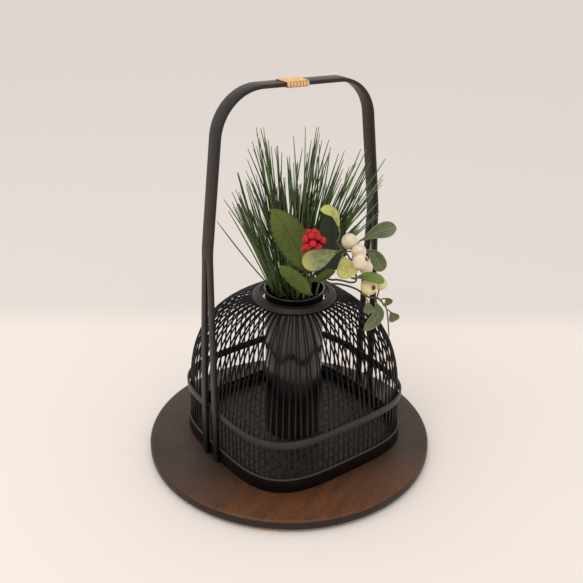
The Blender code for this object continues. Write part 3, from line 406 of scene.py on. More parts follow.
def leaf_cloth(name, colours, vein_count, vein_depth, mottle_share):
    """Printed and pressed cloth leaf: a pressed midrib and side veins, a paler or darker
    tip, an edge line, and the blotches of the print. colours are body, blotch, tip, vein
    and edge."""
    body, blotch, tip, vein, edge = colours
    mat, tree, place = new_finish(name, 0.55, IOR=1.45)
    split = add(tree, "ShaderNodeSeparateXYZ", {"Vector": place.node.outputs["UV"]}).outputs
    centred = add(tree, "ShaderNodeMath", {0: split["Y"], 1: 0.5}, operation="SUBTRACT")
    off_rib = add(tree, "ShaderNodeMath", {0: centred.outputs[0]},
                  operation="ABSOLUTE").outputs[0]
    slanted = add(tree, "ShaderNodeMath", {0: off_rib, 1: -VEIN_SLANT, 2: split["X"]},
                  operation="MULTIPLY_ADD")
    wave = add(tree, "ShaderNodeMath", {0: slanted.outputs[0], 1: vein_count * math.tau},
               operation="MULTIPLY")
    crest = add(tree, "ShaderNodeMath", {0: wave.outputs[0]}, operation="COSINE")
    side_veins = add(tree, "ShaderNodeMapRange",
                     {"Value": crest.outputs[0], "From Min": 0.90, "From Max": 1.0,
                      "To Max": SIDE_VEIN_SHARE})
    midrib = add(tree, "ShaderNodeMapRange",
                 {"Value": off_rib, "From Min": 0.022, "From Max": 0.008})
    veins = add(tree, "ShaderNodeMath",
                {0: midrib.outputs["Result"], 1: side_veins.outputs["Result"]},
                operation="MAXIMUM").outputs[0]
    blotches = grained(tree, place, (5, 5, 5), detail=4.0)
    printed = coated(tree, body, (blotches, 0.45, 0.62, blotch, mottle_share))
    tipped = coated(tree, printed, (split["X"], 0.62, 1.0, tip, 0.85), soft=True)
    colour = coated(tree, tipped, (off_rib, 0.43, 0.495, edge, 0.8), (veins, 0.0, 1.0, vein, 1.0))
    return dressed(mat, colour, relief=veins, depth=-vein_depth)


def white_berry_skin():
    """Matt ivory berry with a painted yellow green shade on the side of its stalk, and the brown
    dry flower end at its tip; the berries low on the spray are still yellow green."""
    mat, tree, place = new_finish("flocked_ivory_berry", 0.55, Subsurface_Weight=0.15,
                                  Subsurface_Scale=2 * MM)
    patch = grained(tree, place, (4, 4, 4))
    fuzz = grained(tree, place, (0.5, 0.5, 0.5), detail=2.0)
    height = add(tree, "ShaderNodeSeparateXYZ", {"Vector": place}).outputs["Z"]
    to_tip = add(tree, "ShaderNodeSeparateXYZ",
                 {"Vector": place.node.outputs["UV"]}).outputs["Y"]
    ripe = coated(tree, "#EBDDC4", (patch, 0.35, 0.7, "#DFCCAC", 1.0))
    unripe = coated(tree, "#E2D9A6", (patch, 0.35, 0.7, "#D2C88C", 1.0))
    # Yellow green below the ripe heights, and a painted yellow green shade towards the stalk end
    skin = coated(tree, unripe, (height, *RIPE_HEIGHTS, ripe, 1.0),
                  (to_tip, 0.34, 0.06, "#C9C684", 1.0), soft=True)
    colour = coated(tree, skin, (to_tip, 0.885, 0.915, "#6A3A20", 1.0))
    return dressed(mat, colour, relief=fuzz, depth=0.06 * MM)


def red_berry_skin():
    """Glossy red berries, each its own red, with darker blotches."""
    mat, tree, place = new_finish("glossy_red_berry", 0.28, Specular_IOR_Level=0.4)
    berry = add(tree, "ShaderNodeNewGeometry").outputs["Random Per Island"]
    patch = grained(tree, place, (3, 3, 3))
    colour = coated(tree, "#AE0A17", (berry, 0.0, 1.0, "#C2101F", 1.0),
                    (patch, 0.5, 0.72, "#74080F", 0.6))
    return dressed(mat, colour, relief=patch, depth=0.05 * MM)


def twig_bark(name, low, high):
    """Moulded twig with a lengthwise bark grain and green and brown patches."""
    mat, tree, place = new_finish(name, 0.6)
    patch = grained(tree, place, (9, 9, 9), detail=4.0)
    bark = grained(tree, place, (0.8, 0.8, 5))
    colour = coated(tree, low, (patch, 0.38, 0.62, high, 1.0))
    return dressed(mat, colour, relief=bark, depth=0.12 * MM)


def pale_display_cloth():
    """Matt pale flat cloth; behind the object it turns a little darker and pinker, painted shade
    standing in for the cloth rising into a wall.
    """
    mat, tree, place = new_finish("matt_display_cloth", 0.95, Specular_IOR_Level=0.05)
    away = (math.sin(CAMERA_HEADING), math.cos(CAMERA_HEADING), 0)
    back = add(tree, "ShaderNodeVectorMath", {0: place, 1: away}, operation="DOT_PRODUCT")
    return dressed(mat, coated(tree, PALE_FLOOR,
                               (back.outputs["Value"], *CLOTH_RISE, PALE_WALL_SHADE, 1.0), soft=True))


# Black bamboo finishes: name, sizes of the fibre's grain, colours where the lacquer is
# thick, thin and on the fibre's ridges, sheen, and the heights and colour of a change
SHADED_GRAIN = (0.6, 0.6, 20)
STRIP_COLOURS = ("#1F1A17", "#2D2622", "#3C322B")
BAMBOO_LOOKS = {
    # Painted shade of the belt keeps it nearly black, below a painted highlight along its upper
    # edge
    "hoop": ("black_lacquered_base_hoop", (30, 30, 0.5), ("#090706", "#100D0C", "#17110F"),
             0.15, (HOOP_TOP - 1.2 * MM, HOOP_TOP - 0.3 * MM, "#4C423D")),
    # Greyer and lighter: a painted reflection of the pale floor and wall
    "belt": ("black_lacquered_belt_hoop", (30, 30, 0.5), ("#262321", "#302B28", "#39322E")),
    # Painted light and shade: brown where the light reaches the foot of the cage, black where the
    # dome closes over it
    "ribs": ("black_lacquered_rib_bamboo", SHADED_GRAIN, ("#1E1917", "#2B2421", "#3A302B"),
             0.16, (85 * MM, 135 * MM, "#090808")),
    "neck": ("black_lacquered_neck_hoop", SHADED_GRAIN, ("#141110", "#1D1816", "#28211E"),
             0.35),
    # Its feet turn black where they stand in the shade of the cage
    "handle": ("black_lacquered_handle_bamboo", (30, 0.6, 30),
               ("#1A1614", "#241E1B", "#302723"), 0.4, (75 * MM, 30 * MM, "#0D0B0A")),
    "strip_x": ("black_plaited_strip_lengthwise", (30, 0.7, 6), STRIP_COLOURS),
    "strip_y": ("black_plaited_strip_crosswise", (0.7, 30, 6), STRIP_COLOURS),
}

# Cloth leaves: name; body, blotch, tip, vein and edge; veins; their depth; the blotches
LEAF_LOOKS = {
    "leaf": ("pressed_cloth_leaf_green",
             ("#546520", "#435418", "#5E6E25", "#3C4A1A", "#3E4B1C"), 9, 0.12 * MM, 0.7),
    # The green leaf's colours darkened for the back leaf: painted shade
    "dark_leaf": ("pressed_cloth_leaf_painted_shade_green",
                  ("#2A331D", "#212917", "#303A20", "#1D2312", "#1E2514"), 9, 0.12 * MM, 0.7),
    "bright_leaf": ("pressed_cloth_leaf_bright_green",
                    ("#66802E", "#557029", "#74903A", "#465C22", "#465A26"),
                    7, 0.10 * MM, 0.5),
    "pale_leaf": ("printed_cloth_leaf_variegated",
                  ("#7F8656", "#626A44", "#B3B562", "#A39A6C", "#4A5133"), 7, 0.10 * MM, 0.9),
    "yellow_leaf": ("printed_cloth_leaf_yellow_green",
                    ("#B9BC68", "#9E9468", "#CCD070", "#B0A070", "#70783C"),
                    7, 0.10 * MM, 0.7),
    "grey_leaf": ("printed_cloth_leaf_grey_green",
                  ("#5B6443", "#485137", "#6E7650", "#8D946C", "#98A078"), 7, 0.10 * MM, 0.7),
}


def make_finishes():
    finishes = {key: black_lacquered_bamboo(*look) for key, look in BAMBOO_LOOKS.items()}
    finishes.update({key: leaf_cloth(*look) for key, look in LEAF_LOOKS.items()})
    finishes.update({
        "board_wood": wiped_lacquer_on_wood(),
        "bare_wood": bare_batten_wood(),
        "rattan": rattan_cane(),
        "tube": black_moulded_plastic(),
        "pine": pine_needle_plastic(),
        "twig": twig_bark("moulded_twig_olive_brown", "#5E5E34", "#494528"),
        "stalk": twig_bark("moulded_stalk_olive_green", "#6E6B3C", "#54502E"),
        "red_berry": red_berry_skin(),
        "white_berry": white_berry_skin(),
    })
    return finishes


# Geometry helpers

def place_piece(name, bm, finish, body, nodes, sharp=40.0):
    """Turn a bmesh into a piece of the object that rides on a body."""
    bmesh.ops.recalc_face_normals(bm, faces=bm.faces)
    mesh = bpy.data.meshes.new(name)
    bm.to_mesh(mesh)
    bm.free()
    place_mesh(name, mesh, finish, body, nodes, sharp)


def linked(name, data):
    """A new object of the scene that shows the given data."""
    made = bpy.data.objects.new(name, data)
    bpy.context.scene.collection.objects.link(made)
    return made


def place_mesh(name, mesh, finish, body, nodes, sharp=40.0):
    """Give a mesh its finish and its shading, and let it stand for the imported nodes."""
    mesh.materials.clear()
    mesh.materials.append(finish)
    mesh.shade_smooth()
    mesh.set_sharp_from_angle(angle=math.radians(sharp))
    piece = linked(name, mesh)
    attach(piece, body)
    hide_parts(*nodes)


def turned(profile, centre, steps):
    """Spin a closed or on-axis section of (radius, height) points about an upright axis."""
    bm = bmesh.new()
    verts = [bm.verts.new(centre + Vector((radius, 0, height))) for radius, height in profile]
    ends = verts[1:] if profile[0][0] == 0 else verts[1:] + verts[:1]
    edges = [bm.edges.new(pair) for pair in zip(verts, ends)]
    bmesh.ops.spin(bm, geom=verts + edges, cent=centre, axis=UP, angle=math.tau,
                   steps=steps, use_merge=True)
    bmesh.ops.remove_doubles(bm, verts=bm.verts, dist=MERGE_DISTANCE)
    return bm


def ease(bm, edges, offset, segments):
    """Round the given edges, over the same width on both sides of each."""
    bmesh.ops.bevel(bm, geom=edges, offset=offset, segments=segments, profile=0.5,
                    affect="EDGES", material=-1)


def round_rims(bm, centre, rims, offset, segments):
    """Bevel the ring edges that lie at the given (radius, height) places about an axis."""
    found = []
    for edge in bm.edges:
        level = abs(edge.verts[0].co.z - edge.verts[1].co.z) < MERGE_DISTANCE
        middle = (edge.verts[0].co + edge.verts[1].co) / 2
        reaches = [(vert.co - centre).xy.length for vert in edge.verts]
        near = any(max(abs(reach - radius) for reach in reaches) < RIM_REACH
                   and abs(middle.z - height) < RIM_REACH for radius, height in rims)
        if level and near:
            found.append(edge)
    ease(bm, found, offset, segments)


def section_frame(point, along, side):
    """A matrix that stands a flat section square on a path: X is its side, Y its depth."""
    along = along.normalized()
    side = (side - along * along.dot(side)).normalized()
    depth = along.cross(side)
    frame = Matrix((side, depth, along)).transposed().to_4x4()
    frame.translation = point
    return frame


def path_frames(path, sides):
    """Section frames along a path; sides gives the section's side direction at each point."""
    last = len(path) - 1
    frames = []
    for index, (point, side) in enumerate(zip(path, sides)):
        along = path[min(index + 1, last)] - path[max(index - 1, 0)]
        frames.append(section_frame(point, along, side))
    return frames


def draw_section(bm, frames, width, depth, edge, segments):
    """Draw a rounded rectangular section along the frames and close its ends."""
    made = bmesh.ops.create_circle(bm, cap_ends=True, segments=4 * segments, radius=edge,
                                   matrix=Matrix.Rotation(math.pi / (4 * segments), 4, "Z"))
    face = made["verts"][0].link_faces[0]
    for vert in face.verts:
        vert.co.x += math.copysign(width / 2 - edge, vert.co.x)
        vert.co.y += math.copysign(depth / 2 - edge, vert.co.y)
        vert.co = frames[0] @ vert.co
    draw_on(bm, frames, face)


def draw_on(bm, frames, face):
    """Draw a section that stands in the first frame through all the others."""
    for before, after in zip(frames, frames[1:]):
        face = bmesh.ops.extrude_discrete_faces(bm, faces=[face])["faces"][0]
        back = before.inverted()
        for vert in face.verts:
            vert.co = after @ (back @ vert.co)


def tapered(radius, lost, power, count):
    """The radius at each point of a rod that loses a share of it towards its tip; the higher
    the power, the later."""
    return [radius * (1 - lost * (index / (count - 1)) ** power) for index in range(count)]


def place_rods(name, paths, radii, finish, nodes, sides=8):
    """Round rods of the arrangement as one piece; radii gives each path's radius at its
    points, and their sides come in fours."""
    curve = bpy.data.curves.new(name, "CURVE")
    curve.dimensions = "3D"
    curve.bevel_depth = 1.0
    curve.bevel_resolution = sides // 4 - 1
    curve.use_fill_caps = True
    for path, sizes in zip(paths, radii):
        spline = curve.splines.new("POLY")
        spline.points.add(len(path) - 1)
        for point, place, radius in zip(spline.points, path, sizes):
            point.co = (*place, 1)
            point.radius = radius
    holder = linked(name, curve)
    bpy.context.view_layer.update()
    mesh = bpy.data.meshes.new_from_object(holder.evaluated_get(
        bpy.context.evaluated_depsgraph_get()))
    bpy.data.objects.remove(holder)
    bpy.data.curves.remove(curve)
    place_mesh(name, mesh, finish, "arrangement", nodes)


def smooth_path(points, steps):
    """A smooth curve through the points, with the given number of steps in each span."""
    padded = [2 * points[0] - points[1]] + list(points) + [2 * points[-1] - points[-2]]
    path = []
    for p0, p1, p2, p3 in zip(padded, padded[1:], padded[2:], padded[3:]):
        for step in range(steps):
            t = step / steps
            path.append(0.5 * ((2 * p1) + (p2 - p0) * t + (2 * p0 - 5 * p1 + 4 * p2 - p3) * t * t
                               + (3 * p1 - p0 - 3 * p2 + p3) * t * t * t))
    path.append(points[-1].copy())
    return path


class Outline:
    """The squarish plan of the basket, walked by share of its length."""

    def __init__(self, half_x, half_y, samples=2880):
        self.half_x = half_x
        self.half_y = half_y
        self.places = []
        self.lengths = [0.0]
        for index in range(samples + 1):
            angle = math.tau * index / samples
            reach_x = math.copysign(abs(math.cos(angle)) ** (2 / SQUARENESS), math.cos(angle))
            reach_y = math.copysign(abs(math.sin(angle)) ** (2 / SQUARENESS), math.sin(angle))
            self.places.append(Vector((half_x * reach_x, half_y * reach_y, 0)))
        for before, after in zip(self.places, self.places[1:]):
            self.lengths.append(self.lengths[-1] + (after - before).length)

    def at(self, share, inset):
        """The point at a share of the way round, moved in, and the outward direction there."""
        wanted = (share % 1.0) * self.lengths[-1]
        low, high = 0, len(self.lengths) - 1
        while high - low > 1:
            middle = (low + high) // 2
            if self.lengths[middle] <= wanted:
                low = middle
            else:
                high = middle
        part = (wanted - self.lengths[low]) / (self.lengths[high] - self.lengths[low])
        place = self.places[low].lerp(self.places[high], part)
        slope_x = math.copysign(abs(place.x / self.half_x) ** (SQUARENESS - 1), place.x)
        slope_y = math.copysign(abs(place.y / self.half_y) ** (SQUARENESS - 1), place.y)
        outward = Vector((slope_x / self.half_x, slope_y / self.half_y, 0)).normalized()
        return place - outward * inset, outward


class Basket:
    """Places and sizes of the basket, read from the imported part."""

    def __init__(self):
        low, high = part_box("base_hoop_outer")
        self.centre = Vector(((low.x + high.x) / 2, (low.y + high.y) / 2, 0))
        self.hoop_bottom = low.z
        self.outline = Outline((high.x - low.x) / 2, (high.y - low.y) / 2)
        self.board_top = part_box("display_board")[1].z
        self.neck_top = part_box("rib_cage")[1].z
        self.tube_low, self.tube_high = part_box("water_tube")
        self.tube_lip_radius = (self.tube_high.x - self.tube_low.x) / 2
        self.tube_radius = self.tube_lip_radius - TUBE_FLARE


# Board

def build_board(finish):
    """The turned board, its upper rim rounded and its lower one eased."""
    low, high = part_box("display_board")
    radius = (high.x - low.x) / 2
    bm = turned([(0, low.z), (radius, low.z), (radius, high.z), (0, high.z)], Vector(),
                BOARD_STEPS)
    round_rims(bm, Vector(), [(radius, high.z)], BOARD_TOP_ROUND, 6)
    round_rims(bm, Vector(), [(radius, low.z)], BOARD_FOOT_ROUND, 3)
    place_piece("display_board_top", bm, finish, "board", ["display_board"])


def build_battens(finish):
    """The two planed battens under the board, with their edges eased and their ends sawn to
    its round rim, where the left one's front end shows."""
    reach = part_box("display_board")[1].x - BATTEN_RIM_GAP
    for node in ("board_batten_left", "board_batten_right"):
        low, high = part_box(node)
        bm = bmesh.new()
        made = bmesh.ops.create_cube(bm, size=1)
        bmesh.ops.scale(bm, verts=made["verts"], vec=high - low)
        bmesh.ops.translate(bm, verts=made["verts"], vec=(low + high) / 2)
        crosswise = [edge for edge in bm.edges
                     if abs(edge.verts[0].co.x - edge.verts[1].co.x) > BATTEN_EDGE]
        bmesh.ops.subdivide_edges(bm, edges=crosswise, cuts=BATTEN_CUTS, use_grid_fill=True)
        for vert in bm.verts:
            limit = math.sqrt(reach ** 2 - vert.co.x ** 2)
            vert.co.y = math.copysign(min(abs(vert.co.y), limit), vert.co.y)
        square = [edge for edge in bm.edges if edge.calc_face_angle(0.0) > BATTEN_SQUARE_ANGLE]
        ease(bm, square, BATTEN_EDGE, 2)
        place_piece(node + "_wood", bm, finish, "board", [node])


# Hoops

def build_hoop(name, finish, basket, inset, node):
    """A flat strip of bamboo bent round the plan, with its long edges eased."""
    low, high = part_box(node)
    bm = bmesh.new()
    verts = []
    for index in range(OUTLINE_STEPS):
        place = basket.outline.at(index / OUTLINE_STEPS, inset)[0]
        verts.append(bm.verts.new(basket.centre + place + UP * low.z))
    edges = [bm.edges.new(pair) for pair in zip(verts, verts[1:] + verts[:1])]
    made = bmesh.ops.extrude_edge_only(bm, edges=edges)["geom"]
    raised = [item for item in made if isinstance(item, bmesh.types.BMVert)]
    bmesh.ops.translate(bm, verts=raised, vec=UP * (high.z - low.z))
    bmesh.ops.recalc_face_normals(bm, faces=bm.faces)
    outer = sum(face.normal.dot(face.calc_center_median() - basket.centre)
                for face in bm.faces) > 0
    bmesh.ops.solidify(bm, geom=bm.faces[:], thickness=HOOP_WALL if outer else -HOOP_WALL)
    bmesh.ops.recalc_face_normals(bm, faces=bm.faces)
    sharp = [edge for edge in bm.edges
             if len(edge.link_faces) == 2 and edge.calc_face_angle() > HOOP_EDGE_ANGLE]
    ease(bm, sharp, HOOP_EDGE, 2)
    place_piece(name, bm, finish, "basket", [node])


# Ribs and neck

def rib_path(basket, index, sway):
    """Centre points of one rib from the neck to its foot, with its width directions; its
    sway is how far it strays sideways, most of all half way up the dome."""
    share = index / RIB_COUNT
    rib_inset = HOOP_WALL + RIB_SLOT / 2
    base, outward = basket.outline.at(share, rib_inset)
    angle = math.tau * share
    neck = Vector((math.cos(angle), math.sin(angle), 0)) * NECK_RIB_RADIUS
    neck_side = Vector((-math.sin(angle), math.cos(angle), 0))
    base_side = UP.cross(outward)
    neck_z = basket.neck_top - NECK_RIB_DROP
    points = []
    sides = []
    for step in range(RIB_STEPS + 1):
        height_share = math.cos(math.pi / 2 * step / RIB_STEPS) ** RIB_STEP_POWER
        inward = 1 - (1 - height_share ** DOME_UP_POWER) ** (1 / DOME_IN_POWER)
        level = HOOP_TOP + (neck_z - HOOP_TOP) * height_share
        side = base_side.lerp(neck_side, inward).normalized()
        swayed = RIB_SWAY_START + (1 - RIB_SWAY_START) * step / RIB_STEPS
        stray = sway * math.sin(math.pi * swayed) ** RIB_SWAY_POWER
        points.append(base.lerp(neck, inward) + UP * level + side * stray)
        sides.append(side)
    points.append(base + UP * (basket.hoop_bottom + RIB_THICKNESS / 2))
    sides.append(base_side)
    return [basket.centre + point for point in points], sides


def build_ribs(finish, basket):
    """Ribs with eased corners, a little thinner where each is let into the neck hoop; set
    by hand, so they lean together in uneven pairs on their way up."""
    source = random.Random(RIB_SEED)
    bm = bmesh.new()
    for index in range(RIB_COUNT):
        sway = (-1 if index % 2 else 1) * RIB_SWAY * source.random()
        points, sides = rib_path(basket, index, sway)
        frames = path_frames(points, sides)
        for step, frame in enumerate(frames):
            size = RIB_NECK_SHARE + (1 - RIB_NECK_SHARE) * step / (len(frames) - 1)
            frames[step] = frame @ Matrix.Diagonal((size, size, 1, 1))
        draw_section(bm, frames, RIB_THICKNESS, RIB_THICKNESS, RIB_EDGE, segments=1)
    place_piece("basket_ribs", bm, finish, "basket", ["rib_cage"])


def build_neck(finish, basket):
    """The turned hoop that the ribs are let into, and the thinner one nested inside it."""
    top = basket.neck_top
    bottom = top - NECK_RIB_DROP - RIB_THICKNESS / 2
    profile = [
        (NECK_INNER_RADIUS, top),
        (NECK_INNER_RADIUS + NECK_TOP_WIDTH, top - NECK_TOP_SLOPE),
        (NECK_OUTER_RADIUS, top - NECK_LIP_DROP + NECK_LIP_EDGE),
        (NECK_OUTER_RADIUS - FIT_GAP, top - NECK_LIP_DROP),
        (NECK_RIB_RADIUS, bottom),
        (NECK_INNER_RADIUS, bottom),
    ]
    bm = turned(profile, basket.centre, NECK_STEPS)
    round_rims(bm, basket.centre, profile[:3], NECK_EDGE, 3)
    place_piece("neck_hoop", bm, finish, "basket", ["rib_cage"])

    low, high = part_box("neck_liner_hoop")
    outer = (high.x - low.x) / 2
    inner = outer - LINER_WALL
    profile = [(inner, low.z), (outer, low.z), (outer, high.z), (inner, high.z)]
    bm = turned(profile, basket.centre, NECK_STEPS)
    round_rims(bm, basket.centre, profile, LINER_EDGE, 2)
    place_piece("neck_inner_hoop", bm, finish, "basket", ["neck_liner_hoop"])


# Floor

def weave_level(row, column):
    """Whether a strip lies over or under at a crossing of a two-over-two-under plait."""
    return 1 if (row + column) % 4 < 2 else -1


def half_chord(offset, half_across, half_along):
    """Half the length of a straight chord of the plan, at an offset from its middle line."""
    share = min(offset / half_across, 1.0)
    return half_along * (1 - share ** SQUARENESS) ** (1 / SQUARENESS)


def build_floor(finishes, basket):
    """Strips that run both ways, each bent over two and under two of the others."""
    low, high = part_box("plaited_floor")
    middle_z = (low.z + high.z) / 2
    half_x, half_y = (high.x - low.x) / 2, (high.y - low.y) / 2
    for way, (half_across, half_along) in enumerate(((half_y, half_x), (half_x, half_y))):
        bm = bmesh.new()
        rows = int(half_across // STRIP_PITCH)
        for row in range(-rows, rows + 1):
            offset = row * STRIP_PITCH
            edge = abs(offset) + STRIP_WIDTH / 2
            half = half_chord(edge, half_across, half_along)
            if half < STRIP_PITCH:
                continue
            draw_strip(bm, basket, way, row, offset, half, middle_z)
        word = ("lengthwise", "crosswise")[way]
        place_piece("floor_strips_" + word, bm, finishes[way], "basket",
                    ["plaited_floor"])


def draw_strip(bm, basket, way, row, offset, half, middle_z):
    """One flat strip, drawn along the floor and lifted or sunk at each crossing."""
    count = int(2 * half // STRIP_PITCH) * STRIP_STEPS
    path = []
    for step in range(count + 1):
        run = -half + 2 * half * step / count
        column = run / STRIP_PITCH
        near = math.floor(column + 0.5)
        bent = (abs(column - near) - STRIP_FLAT_SHARE) / STRIP_BEND_SHARE
        blend = min(max(bent, 0.0), 1.0) / 2
        beyond = near + (1 if column > near else -1)
        level = weave_level(row, near) * (1 - blend) + weave_level(row, beyond) * blend
        lift = level * STRIP_LIFT * (1 if way == 0 else -1)
        place = Vector((run, offset, 0)) if way == 0 else Vector((offset, run, 0))
        path.append(basket.centre + place + UP * (middle_z + lift))
    side = ALONG_Y if way == 0 else ALONG_X
    draw_section(bm, path_frames(path, [side] * len(path)), STRIP_WIDTH, STRIP_THICKNESS,
                 STRIP_EDGE, segments=1)


# Handle

def handle_corners(basket):
    """Corners of the handle's middle line, from the left slit to the right one."""
    low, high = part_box("handle_arch")
    leg = (high.x - low.x) / 2 - HANDLE_THICKNESS / 2
    lean = basket.board_top + HANDLE_LEAN_HEIGHT
    slit = lean - HANDLE_SLIT_DROP
    crown = basket.board_top + HANDLE_HEIGHT - HANDLE_THICKNESS / 2
    fall = HANDLE_CROWN_FALL / 2
    left = [Vector((-leg, 0, slit)), Vector((-leg, 0, lean)),
            Vector((-HANDLE_SHOULDER_HALF_SPAN, 0, crown + fall))]
    right = [Vector((HANDLE_SHOULDER_HALF_SPAN, 0, crown - fall)), Vector((leg, 0, lean)),
             Vector((leg, 0, slit))]
    return left + right


def rounded_path(corners, roundings, step):
    """Points along straight runs between corners, with an arc at each inner corner."""
    path = [corners[0]]
    for before, corner, after, radius in zip(corners, corners[1:], corners[2:], roundings):
        into = (corner - before).normalized()
        out = (after - corner).normalized()
        bend = into.angle(out)
        start = corner - into * radius * math.tan(bend / 2)
        normal = (out - into * into.dot(out)).normalized()
        centre = start + normal * radius
        count = max(3, math.ceil(radius * bend / step))
        for index in range(count + 1):
            angle = bend * index / count
            path.append(centre - normal * radius * math.cos(angle)
                        + into * radius * math.sin(angle))
    path.append(corners[-1])
    return path


def build_handle(finish, basket):
    """One bent strip of bamboo; below the slits each leg is two half-width feet."""
    corners = handle_corners(basket)
    roundings = [HANDLE_LEAN_ROUND, HANDLE_SHOULDER_ROUND, HANDLE_SHOULDER_ROUND,
                 HANDLE_LEAN_ROUND]
    path = [basket.centre + point
            for point in rounded_path(corners, roundings, HANDLE_ARC_STEP)]
    bm = bmesh.new()
    frames = path_frames(path, [ALONG_Y] * len(path))
    draw_section(bm, frames, HANDLE_WIDTH, HANDLE_THICKNESS, HANDLE_EDGE, segments=3)
    for node in PEG_NODES:
        draw_foot(bm, basket, node, corners[-1])
    place_piece("handle_strip", bm, finish, "basket", ["handle_arch"])


def draw_foot(bm, basket, node, slit):
    """One foot: it leaves the slit at the leg's middle and curves over to its peg."""
    low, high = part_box(node)
    peg = (low + high) / 2 - basket.centre
    side = math.copysign(1, peg.x)
    start = math.copysign(HANDLE_WIDTH / 4, peg.y)
    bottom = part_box("handle_arch")[0].z
    frames = []
    for step in range(HANDLE_FOOT_STEPS + 1):
        share = step / HANDLE_FOOT_STEPS
        away = start + (peg.y - start) * math.sin(share * math.pi / 2)
        height = slit.z + (bottom - slit.z) * share
        place = basket.centre + Vector((side * slit.x, away, height))
        frames.append(section_frame(place, -UP, ALONG_Y))
    draw_section(bm, frames, HANDLE_FOOT_WIDTH, HANDLE_THICKNESS, HANDLE_EDGE, segments=3)


def build_pegs(finish):
    """Bamboo pins through the base hoops and the feet, with slightly domed ends."""
    for node in PEG_NODES:
        low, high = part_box(node)
        middle = (low + high) / 2
        radius = (high.y - low.y) / 2
        length = high.x - low.x
        flat = radius * PEG_FLAT_SHARE
        profile = [(0, 0), (flat, 0), (radius, PEG_DOME), (radius, length - PEG_DOME),
                   (flat, length), (0, length)]
        bm = turned(profile, Vector(), PEG_STEPS)
        turn = Matrix.Rotation(math.pi / 2, 4, "Y")
        bmesh.ops.transform(bm, matrix=Matrix.Translation(Vector((low.x, middle.y, middle.z)))
                            @ turn, verts=bm.verts)
        place_piece(node + "_pin", bm, finish, "basket", [node])


# Rattan grip

def wrap_turn():
    """Places round the handle's section, each with its outward direction."""
    half_width = HANDLE_WIDTH / 2 + CANE_THICKNESS / 2 + FIT_GAP
    half_depth = HANDLE_THICKNESS / 2 + CANE_THICKNESS / 2 + FIT_GAP
    corner = WRAP_CORNER_ROUND
    long_run = 2 * (half_width - corner)
    short_run = 2 * (half_depth - corner)
    arc = corner * math.pi / 2
    total = 2 * long_run + 2 * short_run + 4 * arc
    points = []
    for index in range(WRAP_TURN_STEPS):
        run = total * index / WRAP_TURN_STEPS
        turn = 0
        for length in (long_run, short_run, long_run, short_run):
            heading = turn * math.pi / 2
            ahead = Vector((math.cos(heading), math.sin(heading)))
            out = Vector((ahead.y, -ahead.x))
            across = half_depth if turn % 2 == 0 else half_width
            if run <= length:
                points.append((out * across + ahead * (run - length / 2), out))
                break
            run -= length
            if run <= arc:
                angle = run / corner
                spread = out * math.cos(angle) + ahead * math.sin(angle)
                middle = out * (across - corner) + ahead * length / 2
                points.append((middle + spread * corner, spread))
                break
            run -= arc
            turn += 1
    return points


def build_wrap(finish, basket):
    """Flat cane wound close round the crown, its skin side domed outward; both its ends
    are under the strip."""
    start, end = handle_corners(basket)[2:4]
    along = (end - start).normalized()
    centre = basket.centre + (start + end) / 2 + along * (WRAP_OFF_CENTRE / along.x)
    across = ALONG_Y
    depth = along.cross(across).normalized()
    turn = wrap_turn()
    pitch = (WRAP_LENGTH - CANE_WIDTH) / WRAP_TURNS
    bm = bmesh.new()
    made = bmesh.ops.create_grid(bm, x_segments=CANE_SEGMENTS, y_segments=1, size=0.5)
    bmesh.ops.scale(bm, verts=made["verts"], vec=(CANE_WIDTH, CANE_THICKNESS, 1))
    for vert in made["verts"]:
        reach = abs(vert.co.x) / (CANE_WIDTH / 2)
        if vert.co.y > 0:
            vert.co.y -= CANE_THICKNESS * CANE_DOME_SHARE * reach ** CANE_DOME_POWER
    face = bmesh.ops.dissolve_faces(bm, faces=bm.faces[:])["region"][0]
    frames = []
    for index in range(WRAP_TURNS * len(turn) + 1):
        place, outward = turn[(index + WRAP_HIDDEN_STEPS) % len(turn)]
        advance = pitch * index / len(turn) - (WRAP_LENGTH - CANE_WIDTH) / 2
        point = centre + along * advance + across * place.x + depth * place.y
        out = across * outward.x + depth * outward.y
        frame = Matrix((along, out, along.cross(out))).transposed().to_4x4()
        frame.translation = point
        frames.append(frame)
    for vert in face.verts:
        vert.co = frames[0] @ vert.co
    draw_on(bm, frames, face)
    # Each point's height above the handle's faces, in cane thicknesses: the cane's finish paints
    # shade into its low edges, the creases between turns
    layer = bm.verts.layers.float.new("crown")
    for vert in bm.verts:
        beside = abs((vert.co - centre).dot(across)) - HANDLE_WIDTH / 2 - FIT_GAP
        above = abs((vert.co - centre).dot(depth)) - HANDLE_THICKNESS / 2 - FIT_GAP
        vert[layer] = max(beside, above) / CANE_THICKNESS
    place_piece("rattan_grip", bm, finish, "basket", ["rattan_wrap"])


# Water tube

def build_tube(finish, basket):
    """The tube with its flared lip; short rings next to its edges keep the shading of its
    long wall upright, so that it mirrors the pale floor."""
    bottom, top = basket.tube_low.z, basket.tube_high.z
    radius, lip = basket.tube_radius, basket.tube_lip_radius
    flare = top - TUBE_LIP_HEIGHT
    bore = radius - TUBE_WALL
    profile = [
        (0, bottom), (radius, bottom), (radius, bottom + TUBE_LIP_HEIGHT),
        (radius, flare - TUBE_LIP_EDGE), (radius, flare), (lip, top - TUBE_LIP_EDGE),
        (lip, top), (lip - TUBE_WALL, top), (bore, flare), (bore, flare - TUBE_LIP_EDGE),
        (bore, bottom + TUBE_FLOOR),
        (0, bottom + TUBE_FLOOR),
    ]
    bm = turned(profile, basket.centre, TUBE_STEPS)
    round_rims(bm, basket.centre, [(radius, bottom)], TUBE_FOOT_ROUND, 4)
    rims = [(lip, top), (lip - TUBE_WALL, top), (lip, top - TUBE_LIP_EDGE)]
    round_rims(bm, basket.centre, rims, TUBE_EDGE, 3)
    place_piece("water_tube_shell", bm, finish, "water_tube", ["water_tube"])


# Arrangement

